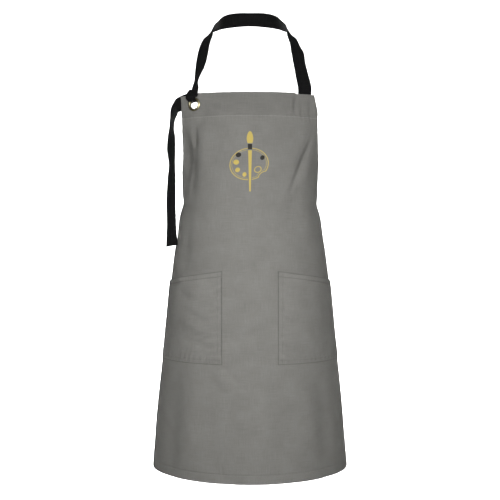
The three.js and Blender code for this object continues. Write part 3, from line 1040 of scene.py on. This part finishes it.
def webbing_material():
    tree, finish = new_material("black webbing")
    weave = placed(tree, "ribbed weave")
    tone = mixed(ramp(weave["Fuzz"], 0.35, 0.75), (0.002, 0.002, 0.0022, 1), (0.0078, 0.0078, 0.0082, 1))
    # painted highlight: the webbing's raised ribs are drawn lighter than its hollows
    tone = mixed(ramp(weave["Height"], 0.2, 1.0) * 0.4, tone, (0.012, 0.012, 0.0125, 1))
    soft = bumped(weave["Fuzz"], 0.3 * MM, 0.4)
    return finish({
        "Base Color": tone, "Roughness": 0.85, "Specular IOR Level": 0.2, "Sheen Weight": 0.02,
        "Sheen Roughness": 0.5, "Normal": bumped(weave["Height"], 0.3 * MM, 0.8, soft),
    })


def thread_material(name, colour):
    tree, finish = new_material(name)
    twist = noisy(own_place(tree), 900.0, 2.0)
    tone = mixed(twist, tint(colour, 0.8), tint(colour, 1.2))
    return finish({"Base Color": tone, "Roughness": 0.6, "Normal": bumped(twist, 0.1 * MM, 0.5)})


def brass_material():
    tree, finish = new_material("aged brass")
    patina = noisy(own_place(tree), 160.0, 5.0, 0.65)
    scratches = noisy(stretched(own_place(tree), (2600, 160, 400)), 1.0, 2.0)
    tone = mixed(ramp(patina, 0.45, 0.72), (0.56, 0.5, 0.31, 1), (0.2, 0.17, 0.1, 1))
    return finish({
        "Base Color": tone, "Metallic": 1.0, "Roughness": patina * 0.3 + 0.22,
        "Normal": bumped(scratches, 0.05 * MM, 0.3),
    })


def stage_material():
    tree, finish = new_material("studio white")
    tone = mixed(noisy(own_place(tree), 3.0, 2.0), (0.9, 0.9, 0.9, 1), (0.94, 0.94, 0.94, 1))
    return finish({"Base Color": tone, "Roughness": 0.9})


# ---------------------------------------------------------------------------------------------
# Settings


class ApronCanvasSettings(bpy.types.PropertyGroup):
    colour: bpy.props.FloatVectorProperty(
        name="Canvas colour", description="Colour of the grey canvas", subtype="COLOR", size=3,
        min=0, max=1, default=(0.275, 0.27, 0.252),
    )
    gape: bpy.props.FloatProperty(
        name="Pocket gape", description="How far each pocket's mouth stands open",
        default=11 * MM, min=0, max=16 * MM, unit="LENGTH",
    )


class ApronThreadSettings(bpy.types.PropertyGroup):
    colour: bpy.props.FloatVectorProperty(
        name="Thread colour", description="Colour of the sewing thread", subtype="COLOR", size=3,
        min=0, max=1, default=(0.235, 0.232, 0.215),
    )
    stitch: bpy.props.FloatProperty(
        name="Stitch length", description="Length of one stitch", default=3.4 * MM,
        min=2 * MM, max=6 * MM, unit="LENGTH",
    )


class ApronStudioSettings(bpy.types.PropertyGroup):
    distance: bpy.props.FloatProperty(
        name="Camera distance", description="From the lens to the front of the apron",
        default=1.9, min=0.5, max=5, unit="LENGTH",
    )
    lens: bpy.props.FloatProperty(
        name="Lens", description="Focal length on a 36 mm sensor", default=63.33, min=20, max=200,
    )


# ---------------------------------------------------------------------------------------------
# Operators


class APRON_OT_materials(bpy.types.Operator):
    """Make the cloth, webbing, thread and brass materials"""
    bl_idname = "apron.materials"
    bl_label = "Make materials"

    def execute(self, context):
        canvas = tuple(context.scene.apron_canvas.colour)
        thread = tuple(context.scene.apron_thread.colour)
        recipes = {
            "plain weave": plain_weave_group,
            "ribbed weave": ribbed_weave_group,
            "seam marks": seam_group,
            "palette print": print_group,
            "printed canvas": lambda: canvas_material("grey canvas, printed", canvas, True),
            "canvas": lambda: canvas_material("grey canvas", canvas),
            "label": lambda: canvas_material("label tape", (0.74, 0.72, 0.66)),
            "webbing": webbing_material,
            "thread": lambda: thread_material("grey thread", thread),
            "black thread": lambda: thread_material("black thread", (0.02, 0.02, 0.02)),
            "brass": brass_material,
            "stage": stage_material,
        }
        for key, make in recipes.items():
            MATERIALS[key] = make()
        return {"FINISHED"}


class APRON_OT_panel(bpy.types.Operator):
    """Make the front panel with its printed bib"""
    bl_idname = "apron.panel"
    bl_label = "Front panel"

    def execute(self, context):
        seams_across = []
        for centre in (POCKET_IN, WAIST_HALF - SIDE_HEM):
            seams_across += [centre + off * MM for off in (-5, -2.5, -1.2, 0, 1.2, 2.5, 5)]
        seams_across += [WAIST_HALF - off * MM for off in (0.4, 0.9, 1.6)]
        shares = [(1 + side * at / WAIST_HALF) / 2 for at in seams_across for side, _ in SIDES]
        columns = spread(150, shares, 0.0004)
        bib_rows, skirt_rows = 64, 120
        heights = [BIB_TOP - BIB_DROP * math.sin(math.pi / 2 * k / bib_rows) for k in range(bib_rows + 1)]
        heights += [WAIST - SKIRT_DROP * (k / skirt_rows) ** 1.1 for k in range(1, skirt_rows + 1)]
        for centre in (BAND_ROW, HEM_ROW, POCKET_BOTTOM):
            heights += [centre + off * MM for off in (-3, -1.5, -0.7, 0, 0.7, 1.5, 3)]
        for off in (0.4, 0.9, 1.6):
            heights += [BIB_TOP - off * MM, HEM + off * MM]
        heights = [min(BIB_TOP, max(HEM, round(z, 5))) for z in heights] + [HEM, BIB_TOP]
        rows = [(z - HEM) / (BIB_TOP - HEM) for z in uncrowded(heights, 0.25 * MM)]

        def lay(s, t):
            z = HEM + t * (BIB_TOP - HEM)
            reach = half_width(z, side_of(s - 0.5))
            across = (2 * s - 1) * reach
            edge = min(reach - abs(across), BIB_TOP - z, z - HEM)
            roll = max(0.0, 1 - edge / (1.4 * MM))
            out = CLOTH - 0.9 * MM * (1 - math.sqrt(max(0.0, 1 - roll * roll)))
            return cloth(across, z, out), (across, z)

        panel = sheet_of_cloth("canvas_panel", "front_panel", columns, rows, lay, MATERIALS["printed canvas"])
        panel.data.materials.append(MATERIALS["canvas"])  # the print is on the front only
        panel.modifiers["thickness"].material_offset = 1
        punch(panel)
        return {"FINISHED"}


class APRON_OT_inner_layers(bpy.types.Operator):
    """Make the facing, bindings, hems and label behind the panel"""
    bl_idname = "apron.inner_layers"
    bl_label = "Facing, bindings and hems"

    def execute(self, context):
        inner = -0.15 * MM

        def facing(s, t):
            z = BIB_TOP - 0.3 * MM - FACING_DEPTH * (1 - t)
            across = (2 * s - 1) * (half_width(z, side_of(s - 0.5)) - 0.3 * MM)
            over_strap = math.exp(-(((across - STRAP_ACROSS) / (19 * MM)) ** 4))
            deep = over_strap * smooth((z - BIB_TOP + 46 * MM) / (6 * MM))
            return cloth(across, z, inner - 1.9 * MM * deep), (across, z)

        def bottom(s, t):
            z = HEM + 0.4 * MM + BOTTOM_HEM * t
            across = (2 * s - 1) * (half_width(z) - 0.4 * MM)
            return cloth(across, z, inner), (across, z)

        pieces = [sheet_of_cloth("top_facing", "bib_top_facing", spread(110), spread(16), facing)]
        punch(pieces[0])
        for side, word in SIDES:

            def at_edge(s, z, depth):
                edge = half_width(z, side if z > WAIST else 0) - 0.4 * MM
                across = edge - depth * (1 - s) if side > 0 else -edge + depth * s
                return cloth(across, z, inner), (across, z)

            def binding(s, t):
                low, high = math.asin(0.985), math.asin((FACING_DEPTH - 4 * MM) / BIB_DROP)
                return at_edge(s, BIB_TOP - BIB_DROP * math.sin(low + (high - low) * t), BINDING)

            def hem(s, t):
                top, low = WAIST - 2 * MM, HEM + BOTTOM_HEM + 1 * MM
                return at_edge(s, top + (low - top) * (1 - t) ** 1.2, SIDE_HEM)

            for ending, node, count, lay in (
                ("_armhole_tape", "_armhole_binding", 60, binding), ("_turned_side", "_side_hem", 110, hem)
            ):
                pieces.append(sheet_of_cloth(word + ending, word + node, spread(4), spread(count), lay))
        pieces.append(sheet_of_cloth("turned_bottom", "bottom_hem", spread(170), spread(8), bottom))
        label_wide, label_high = 27 * MM, 45 * MM

        def label(s, t):
            across = -345 * MM + label_wide * s
            z = -905 * MM + label_high * t
            curl = 0.8 * MM * math.sin(math.pi * t) * s + 0.4 * MM * s
            return cloth(across, z, -1.6 * MM - curl), (across, z)

        piece = sheet_of_cloth("blank_label", "care_label", spread(14), spread(20), label,
                               MATERIALS["label"], "label", 0.4 * MM)
        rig.sheet(piece, flat=(label_wide, label_high), held="hung", rests_on=["canvas_panel"])
        bib_area = 2 * (BIB_HALF * BIB_DROP + (WAIST_HALF - BIB_HALF) * BIB_DROP * (1 - math.pi / 4))
        area = bib_area + (WAIST_HALF + HEM_HALF) * SKIRT_DROP
        panel = bpy.data.objects["canvas_panel"]
        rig.sheet(panel, flat=(2 * HEM_HALF, BIB_TOP - HEM), held="hung", rests_on=["neck_webbing"],
                 area=area, with_pieces=pieces)
        return {"FINISHED"}


class APRON_OT_pockets(bpy.types.Operator):
    """Make both side pockets with the turned hems of their mouths"""
    bl_idname = "apron.pockets"
    bl_label = "Side pockets"

    def execute(self, context):
        gape = context.scene.apron_canvas.gape
        width = POCKET_OUT - POCKET_IN
        height = POCKET_TOP - POCKET_BOTTOM
        sewn_edge = [off * MM for off in (0.5, 1, 2, 3, 4.5, 6, 7.8, 9, 10.2, 12, 14, 17)]
        mouth = [off * MM for off in (0.5, 1, 8.5, 9.5, 10.5, 11.5, 13)]
        columns = spread(84, [off / width for off in sewn_edge], 0.0008)
        rows = spread(54, [off / height for off in sewn_edge] + [1 - off / height for off in mouth], 0.0008)
        for side, word in SIDES:

            def pocket(s, t):
                away = s if side > 0 else 1 - s
                across = POCKET_IN + width * away
                z = POCKET_BOTTOM + (mouth_z(across) - POCKET_BOTTOM) * t
                edge = min(across - POCKET_IN, z - POCKET_BOTTOM, (1 - t) * height)
                roll = max(0.0, 1 - edge / (1.2 * MM))
                out = pocket_out(across, z, gape) + CLOTH - 0.6 * MM * (1 - math.sqrt(1 - roll * roll))
                return cloth(side * across, z, out, False), (side * across, z)

            def turned(s, t):
                away = s if side > 0 else 1 - s
                across = POCKET_IN + 3 * MM + (width - 6 * MM) * away
                z = mouth_z(across) - 0.3 * MM - POCKET_HEM * (1 - t)
                rise = pocket_out(across, z, gape)
                sewn = smooth((across - POCKET_IN) / (26 * MM)) * smooth((POCKET_OUT - across) / (30 * MM))
                out = rise - 0.1 * MM - (CLOTH + 0.2 * MM) * (1 - sewn)
                out = max(out, CLOTH + 0.1 * MM)
                return cloth(side * across, z, out, False), (side * across, z)

            piece = sheet_of_cloth(word + "_patch_pocket", word + "_pocket", columns, rows, pocket)
            hem = sheet_of_cloth(word + "_pocket_turned_hem", word + "_pocket_hem", spread(90), spread(6),
                                 turned, thickness=0.5 * MM)
            area = width * (2 * height - POCKET_SLANT * width) / 2
            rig.sheet(piece, flat=(width, height), held="hung", rests_on=["canvas_panel"], area=area,
                     with_pieces=[hem])
        return {"FINISHED"}


class APRON_OT_stitches(bpy.types.Operator):
    """Sew the rows of stitches on the panel and the pockets"""
    bl_idname = "apron.stitches"
    bl_label = "Stitches"

    def execute(self, context):
        gape = context.scene.apron_canvas.gape
        length = context.scene.apron_thread.stitch
        rows = []
        for z, count in ((BAND_ROW, 60), (HEM_ROW, 140)):
            half = half_width(z) - 1 * MM
            rows.append(seam(line((-half, z), (half, z), count)))
        for side, _ in SIDES:
            arm = [BIB_TOP - BIB_DROP * math.sin(math.pi / 2 * k / 60) for k in range(61)]
            arm = [z for z in arm if z > WAIST + 4 * MM]
            rows.append(seam([(side * (half_width(z, side) - BINDING + FOLD_ROW), z) for z in arm]))
            down = [WAIST - 4 * MM - (SKIRT_DROP - 6 * MM) * k / 90 for k in range(91)]
            rows.append(seam([(side * (half_width(z) - SIDE_HEM + FOLD_ROW), z) for z in down]))
        for corner in (-15.5, 15.5):
            across = STRAP_ACROSS + corner * MM
            rows.append(seam(line((across, BIB_TOP - 3 * MM), (across, BAND_ROW), 14)))
        stitch_rows("panel_stitches", rows, length=length)
        for side, word in SIDES:

            def pocket_seam(start, end, count):
                found = []
                for across, z in line(start, end, count):
                    at = cloth(side * across, z, pocket_out(across, z, gape) + CLOTH, False)
                    found.append((at, outward(side * across, z)))
                return found

            rows = []
            start, end = POCKET_IN + 2 * MM, POCKET_OUT - 2 * MM
            for off in POCKET_ROWS:
                corner = (POCKET_IN + off, POCKET_BOTTOM + off)
                rows.append(pocket_seam((corner[0], mouth_z(corner[0]) - 1 * MM), corner, 50))
                rows.append(pocket_seam(corner, (end, corner[1]), 80))
            rows.append(pocket_seam((start, mouth_z(start) - MOUTH_ROW), (end, mouth_z(end) - MOUTH_ROW), 80))
            for k in range(4):
                z = POCKET_TOP - 3 * MM - 2 * MM * k
                rows.append(pocket_seam((POCKET_IN + 1 * MM, z), (POCKET_IN + 10 * MM, z), 4))
            stitch_rows(word + "_pocket_stitches", rows, length=length)
        return {"FINISHED"}


class APRON_OT_eyelet(bpy.types.Operator):
    """Spin the brass eyelet and its washer"""
    bl_idname = "apron.eyelet"
    bl_label = "Eyelet"

    def execute(self, context):
        centre, normal, _ = eyelet_frame()
        place = Matrix.Translation(centre) @ normal.to_track_quat("Z", "Y").to_matrix().to_4x4()
        flange = [
            (9.4, -3.6), (9.4, 1.3), (9.6, 2.1), (10.1, 2.8), (11.0, 3.25), (12.2, 3.2),
            (13.5, 2.75), (14.5, 2.1), (15.0, 1.5), (14.7, 1.2), (10.4, 1.2), (10.4, -3.6),
            (10.2, -3.9), (9.6, -3.9),
        ]
        washer = [
            (10.55, -2.5), (14.6, -2.5), (15.0, -2.7), (15.0, -3.1), (14.3, -3.5), (12.6, -3.8),
            (11.2, -3.8), (10.55, -3.4),
        ]
        pieces = (("brass_eyelet", "eyelet_face", flange), ("brass_washer", "eyelet_washer", washer))
        for name, node, outline in pieces:
            bm = bmesh.new()
            points = [bm.verts.new((r * MM, 0, z * MM)) for r, z in outline]
            for a, b in zip(points, points[1:] + points[:1]):
                bm.edges.new((a, b))
            bmesh.ops.spin(bm, geom=bm.verts[:] + bm.edges[:], cent=(0, 0, 0), axis=(0, 0, 1),
                           angle=2 * math.pi, steps=64, use_merge=True)
            bmesh.ops.remove_doubles(bm, verts=bm.verts, dist=1e-6)
            bmesh.ops.recalc_face_normals(bm, faces=bm.faces)
            bm.transform(place)
            finish_mesh(name, bm, MATERIALS["brass"], "apron", "brass", (node,))
        return {"FINISHED"}


def mm(*values):
    return Vector(values) * MM


def shoulder(x):
    """Stations of the neck strap from above the chest to the back of the neck, on side x."""
    return [
        (mm(x * 102.6, -59, -75.5), (-x * 0.67, -0.71, -0.21), 0.0),
        (mm(x * 95.5, -50, -55), (-x * 0.56, -0.8, -0.22), 0.0),
        (mm(x * 85.5, -38, -33), (0, -1, 0), 0.0),
        (mm(x * 75.5, -26, -22.5), (-x * 0.06, -0.9, 0.44), 0.0),
        (mm(x * 60, -12, -11), (-x * 0.05, -0.58, 0.81), 0.0),
        (mm(x * 31, -2, -3), (0, -0.2, 0.98), 0.0),
    ]


def near(along, out, up):
    """A point placed from the eyelet's centre, in millimetres: along the cloth, out of it, up."""
    centre, normal, level = eyelet_frame()
    return centre + (level * along + normal * out + Vector((0, 0, up))) * MM


class APRON_OT_neck_strap(bpy.types.Operator):
    """Lay the neck strap from its sewn end, round the neck and into the eyelet"""
    bl_idname = "apron.neck_strap"
    bl_label = "Neck strap"

    def execute(self, context):
        level = eyelet_frame()[2]
        stations = []
        for z in (BIB_TOP - 46 * MM, BIB_TOP - 24 * MM, BIB_TOP - 4 * MM):
            slope = outward(STRAP_ACROSS, z)
            stations.append((cloth(STRAP_ACROSS, z, -1.05 * MM), (slope.y, -slope.x, 0), 0.0))
        stations += [
            (mm(121.8, -93.5, -178), (-0.97, -0.22, 0), 0.05),
            (mm(120.3, -89.5, -168), (-0.98, -0.2, 0), 0.1),
            (mm(115.7, -81, -144.5), (-0.93, -0.35, -0.1), 0.1),
            (mm(110.5, -72, -115), (-0.89, -0.45, -0.1), 0.0),
            (mm(108, -66, -95.5), (-0.9, -0.41, -0.15), 0.0),
            *shoulder(1),
            (mm(0, 0.75, -1.3), (0, 0, 1), 0.0),
            *shoulder(-1)[::-1],
            (mm(-106, -66, -95.5), (0.78, -0.62, -0.1), 0.1),
            (mm(-108.7, -73, -115), (0.76, -0.65, -0.1), 0.3),
            (mm(-111.6, -79, -134), (0.7, -0.7, 0), 0.5, 0.1),
            (mm(-115.2, -84.5, -148), (0.58, -0.8, 0), 0.5, 0.35),
            (mm(-118.8, -89.5, -161), (0.5, -0.86, 0), 0.4, 0.66),
            (mm(-121.6, -93.5, -172.5), (0.62, -0.78, 0), 0.3, 0.72),
            (near(2.6, 1.5, 32.5), (0.78, -0.62, 0.1), 0.2, 0.55),
            (near(-0.6, 3.8, 25), level, 0.3, 0.25),
            (near(-3.6, 5.6, 17), level, 0.5, 0.2),
            (near(-2.2, 6.6, 12), level, 0.8, 0.55),
            (near(-0.4, 4.6, 8.4), level, 0.9, 0.92),
            (near(0, 0, 6.3), level, 0.9, 1.0),
            (near(0, -1.5, 6.2), level, 0.9, 1.0),
        ]

        def lie(found, x, y):
            """Below the bib's edge the webbing lies flat between the canvas and the facing."""
            share = smooth((BIB_TOP + 5 * MM - found.z) / (6 * MM)) if found.x > 0 else 0.0
            if share == 0:
                return found
            sewn = cloth(STRAP_ACROSS - x, found.z, y - 1.0 * MM)
            return found.lerp(sewn, share)

        nodes = ("neck_strap", "strap_sewn_end", "strap_wrap")
        piece = limp_cord(webbing("neck_webbing", nodes, stations, 440, None, 3.0, lie=lie), "object")
        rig.blend(piece, "neck_loop", "apron",
                 start=(0, BEND_Y, BEND_Z + 26 * MM), end=(0, BEND_Y, BEND_Z - 4 * MM))
        return {"FINISHED"}


class APRON_OT_strap_tail(bpy.types.Operator):
    """Carry the strap from the eyelet round the bib's corner, and hang its free end"""
    bl_idname = "apron.strap_tail"
    bl_label = "Strap's free end"

    def execute(self, context):
        level = eyelet_frame()[2]
        stations = [
            (near(0, 0.5, 6.3), level, 0.9, 1.0),
            (near(-0.3, -4.5, 7), level, 0.9, 1.0),
            (near(-3.5, -8, 10), (0.75, 0.1, 0.66), 0.8, 0.9),
            (near(-10, -7.5, 12.5), (0.2, 0, 1), 0.4, 0.5),
            (near(-19, -6, 12.5), (0, 0, 1), 0.2, 0.2),
            (mm(-154, -75, -208.5), (-0.4, -0.1, 0.85), 0.1, 0.1),
            (mm(-166, -80, -219.5), (-0.4, -0.85, 0.34), 0.1),
            (mm(-170, -82, -231), (-0.4, -0.88, 0.18), 0.1),
            (mm(-173.2, -82.3, -246), (-0.25, -0.96, 0.04), 0.1),
            (mm(-174.6, -82.5, -262), (-0.22, -0.97, 0), 0.1),
            (mm(-175.3, -82.5, -285), (-0.42, -0.9, 0), 0.0),
            (mm(-176, -82, -314), (-0.5, -0.86, 0), 0.1),
            (mm(-174.5, -80, -348), (-0.35, -0.93, 0), 0.0),
            (mm(-175, -79, -381), (-0.5, -0.86, 0), 0.2),
            (mm(-177, -78, -426), (-0.56, -0.82, 0), 0.0),
            (mm(-175.5, -77, -482), (-0.58, -0.81, 0), 0.15),
            (mm(-175.5, -77, -529), (-0.75, -0.65, 0), 0.0),
        ]
        strap = webbing("strap_free_end", ("strap_tail",), stations, 240, None, 9.0, cut=0.16)
        piece = limp_cord(strap, "bare")
        top = TAIL_PIVOT
        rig.blend(piece, "apron", "free_strap_end", start=top + mm(0, 0, 4), end=top - mm(0, 0, 24))
        return {"FINISHED"}


class APRON_OT_waist_ties(bpy.types.Operator):
    """Tie the waist ties in a bow at the back"""
    bl_idname = "apron.waist_ties"
    bl_label = "Waist ties"

    def execute(self, context):
        for side, word in SIDES:
            self.tie(side, word)
            self.loop(side, word)
            self.tail(side, word)
        self.knot()
        self.box_stitches()
        return {"FINISHED"}

    def tie(self, side, word):
        stations = []
        for k, across in enumerate((316, 332, 350, 372, 394, 412, 428, 437)):
            out = -2.9 * MM - 2.5 * MM * smooth((across - 340) / 40)
            z = TIE_Z + (2 - k) * 0.25 * MM
            point, normal = worn(side * across * MM, z)
            point += normal * out
            gather = 0.0 if k < 5 else (0.8, 1.6, 2.2)[k - 5]
            stations.append((point, (0, 0, 1), gather * side))
        webbing(word + "_waist_tie", (word + "_tie",), stations, 90, "apron", 20.0 + side)

    def loop(self, side, word):
        rows = (
            (9, 110, 1, 0.05, 1.8), (19, 112.5, 0, 0.05, 1.4), (46, 115, -3, 0.15, 0.4),
            (84, 117, -15, 0.3, 0.1), (106, 119, -27, 0.4, 0), (113.5, 124, -31, 0.4, 0),
            (104, 129, -27, 0.4, 0), (80, 129, -16, 0.3, 0.1), (46, 124, -4, 0.15, 0.4),
            (20, 117, 0, 0.05, 1.4), (9, 113, 1, 0.05, 1.8),
        )
        stations = []
        for x, y, z, lean, cup in rows:
            point = mm(side * x, y, z) + Vector((0, 0, TIE_Z))
            stations.append((point, (side * lean, 0, 1), cup * side * 0.6))
        webbing(word + "_loop_of_bow", (word + "_bow_loop",), stations, 150, "apron", 30.0 + side)

    def tail(self, side, word):
        rows = (
            (17, 0, 2, 0, 0.9), (19, 0.2, -18, 0.03, 0.5), (21, 0.5, -50, 0.05, 0.3),
            (27, 2, -130, 0.15, 0.1), (33, 2, -220, 0.1, -0.1), (36, 0, -300, -0.1, 0.1), (38, 1, -376, 0, 0),
        )
        stations = []
        for x, y, z, turned, cup in rows:
            point = mm(side * x, y, z) + Vector((0, KNOT_Y, TIE_PIVOT_Z))
            stations.append((point, (1, side * turned, 0), cup))
        nodes = (word + "_tie_tail",)
        strap = webbing(word + "_tie_free_end", nodes, stations, 180, None, 40.0 + side, cut=0.25 * side)
        piece = limp_cord(strap, "bare")
        top = Vector((side * 17 * MM, KNOT_Y, TIE_PIVOT_Z))
        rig.blend(piece, "apron", word + "_tie_end", start=top + mm(0, 0, 2), end=top - mm(0, 0, 24))

    def knot(self):
        """The knot: a firm bundle with one pass of webbing wrapped over it."""
        bm = bmesh.new()
        bmesh.ops.create_uvsphere(bm, u_segments=40, v_segments=24, radius=1)
        for v in bm.verts:
            pleat = 1 + 0.05 * math.sin(7 * v.co.z + 2.5 * v.co.x) + 0.04 * noise.noise(v.co * 3)
            v.co = Vector((v.co.x * 15, v.co.y * 8.5, v.co.z * 16.5)) * MM * pleat
        bmesh.ops.translate(bm, verts=bm.verts, vec=(0, KNOT_Y, TIE_Z))
        layer = bm.loops.layers.uv.new("cloth")
        for face in bm.faces:
            for loop in face.loops:
                loop[layer].uv = (loop.vert.co.x, loop.vert.co.z)
        finish_mesh("knot_core", bm, MATERIALS["webbing"], "apron", "webbing", ("tie_knot",))
        stations = []
        for k in range(13):
            turn = 2 * math.pi * k / 12 * 0.94 + 0.2
            lift = 0.6 * MM * math.sin(3 * turn)
            point = Vector((lift, KNOT_Y + 9.4 * MM * math.sin(turn), TIE_Z + 17.6 * MM * math.cos(turn)))
            stations.append((point, (1, 0, 0.12), 0.5 + 0.3 * math.sin(2 * turn)))
        webbing("knot_wrap", (), stations, 72, "apron", 51.0, width=26 * MM, ripple=0.6 * MM)

    def box_stitches(self):
        """A stitched box holds each tie to its waist corner."""
        rows = []
        for side, _ in SIDES:
            box = [(314, 12), (346, 12), (346, -12), (314, -12), (314, 12), (346, -12)]
            for a, b in zip(box, box[1:]):
                ends = [(side * p[0] * MM, TIE_Z + p[1] * MM) for p in (a, b)]
                rows.append(seam(line(ends[0], ends[1], 10)))
        stitch_rows("tie_stitches", rows, "black thread", "webbing")


class APRON_OT_studio(bpy.types.Operator):
    """Set the camera, the lights and the pale stage"""
    bl_idname = "apron.studio"
    bl_label = "Studio"

    def execute(self, context):
        studio = context.scene.apron_studio
        camera = bpy.data.objects.new("camera", bpy.data.cameras.new("camera"))
        context.scene.collection.objects.link(camera)
        camera.location = (0, FRONT - studio.distance, -538 * MM)
        camera.rotation_euler = (math.pi / 2, 0, 0)
        camera.data.lens = studio.lens
        camera.data.sensor_width = 36
        context.scene.camera = camera
        self.backdrop()
        self.light("key", (0.02, -2.3, -0.28), 9.2, 0.7, (0.03, 0, -0.58), 78)
        self.light("fill", (0.5, -2.5, 0.3), 0.6, 1.4, (0, 0, -0.6), 120)
        for side, _ in SIDES:
            self.light("backdrop_wash", (side * 2.0, 0.9, -0.4), 112, 1.4, (side * 1.4, 4.2, -0.5), 130)
        self.light("floor_wash", (0, 3.4, 2.6), 130, 2.0, (0, 3.4, -1.6), 60)
        world = bpy.data.worlds.new("studio air")
        context.scene.world = world
        world.use_nodes = True
        air = world.node_tree.nodes["Background"].inputs
        air["Color"].default_value = (1, 1, 1, 1)
        air["Strength"].default_value = 0.055
        context.scene.view_settings.view_transform = "Standard"
        return {"FINISHED"}

    def light(self, name, place, power, size, aim, beam):
        data = bpy.data.lights.new(name, "AREA")
        data.energy = power
        data.size = size
        data.spread = math.radians(beam)
        lamp = bpy.data.objects.new(name, data)
        bpy.context.scene.collection.objects.link(lamp)
        lamp.location = place
        lamp.rotation_euler = (Vector(aim) - Vector(place)).to_track_quat("-Z", "Y").to_euler()

    def backdrop(self):
        """A pale floor that curves up into a backdrop far behind."""
        floor, back, reach = -1.62, 4.2, 1.3
        bm = bmesh.new()
        points = [(-1.6, floor), (back - reach, floor)]
        for k in range(1, 13):
            turn = math.pi / 2 * k / 12
            points.append((back - reach + reach * math.sin(turn), floor + reach * (1 - math.cos(turn))))
        points.append((back, 1.8))
        verts = [bm.verts.new((-2.6, y, z)) for y, z in points]
        edges = [bm.edges.new(pair) for pair in zip(verts, verts[1:])]
        made = bmesh.ops.extrude_edge_only(bm, edges=edges)
        moved = [v for v in made["geom"] if isinstance(v, bmesh.types.BMVert)]
        bmesh.ops.translate(bm, verts=moved, vec=(5.2, 0, 0))
        bmesh.ops.recalc_face_normals(bm, faces=bm.faces)
        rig.stage(finish_mesh("backdrop", bm, MATERIALS["stage"]))


STEPS = (
    APRON_OT_materials,
    APRON_OT_studio,
    APRON_OT_neck_strap,
    APRON_OT_strap_tail,
    APRON_OT_waist_ties,
    APRON_OT_panel,
    APRON_OT_inner_layers,
    APRON_OT_pockets,
    APRON_OT_stitches,
    APRON_OT_eyelet,
)


class APRON_PT_sidebar(bpy.types.Panel):
    """Lists the apron's settings and its steps"""
    bl_idname = "APRON_PT_sidebar"
    bl_label = "Bib apron"
    bl_space_type = "VIEW_3D"
    bl_region_type = "UI"
    bl_category = "Apron"

    def draw(self, context):
        scene = context.scene
        for settings in (scene.apron_canvas, scene.apron_thread, scene.apron_studio):
            for name in settings.__annotations__:
                self.layout.prop(settings, name)
        for step in STEPS:
            self.layout.operator(step.bl_idname)


CLASSES = (ApronCanvasSettings, ApronThreadSettings, ApronStudioSettings) + STEPS + (APRON_PT_sidebar,)
SETTINGS = (
    ("apron_canvas", ApronCanvasSettings),
    ("apron_thread", ApronThreadSettings),
    ("apron_studio", ApronStudioSettings),
)


def register():
    for item in CLASSES:
        bpy.utils.register_class(item)
    for name, group in SETTINGS:
        setattr(bpy.types.Scene, name, bpy.props.PointerProperty(type=group))


def unregister():
    for name, _ in SETTINGS:
        delattr(bpy.types.Scene, name)
    for item in reversed(CLASSES):
        bpy.utils.unregister_class(item)


def main():
    register()
    for step in STEPS:
        area, name = step.bl_idname.split(".")
        getattr(getattr(bpy.ops, area), name)()
    boxes = {"cad": [list(p) for p in CAD_BOX], "visual": [list(p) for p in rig.bounds()]}
    with open("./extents.json", "w") as out:
        json.dump(boxes, out)


if __name__ == "__main__":
    main()
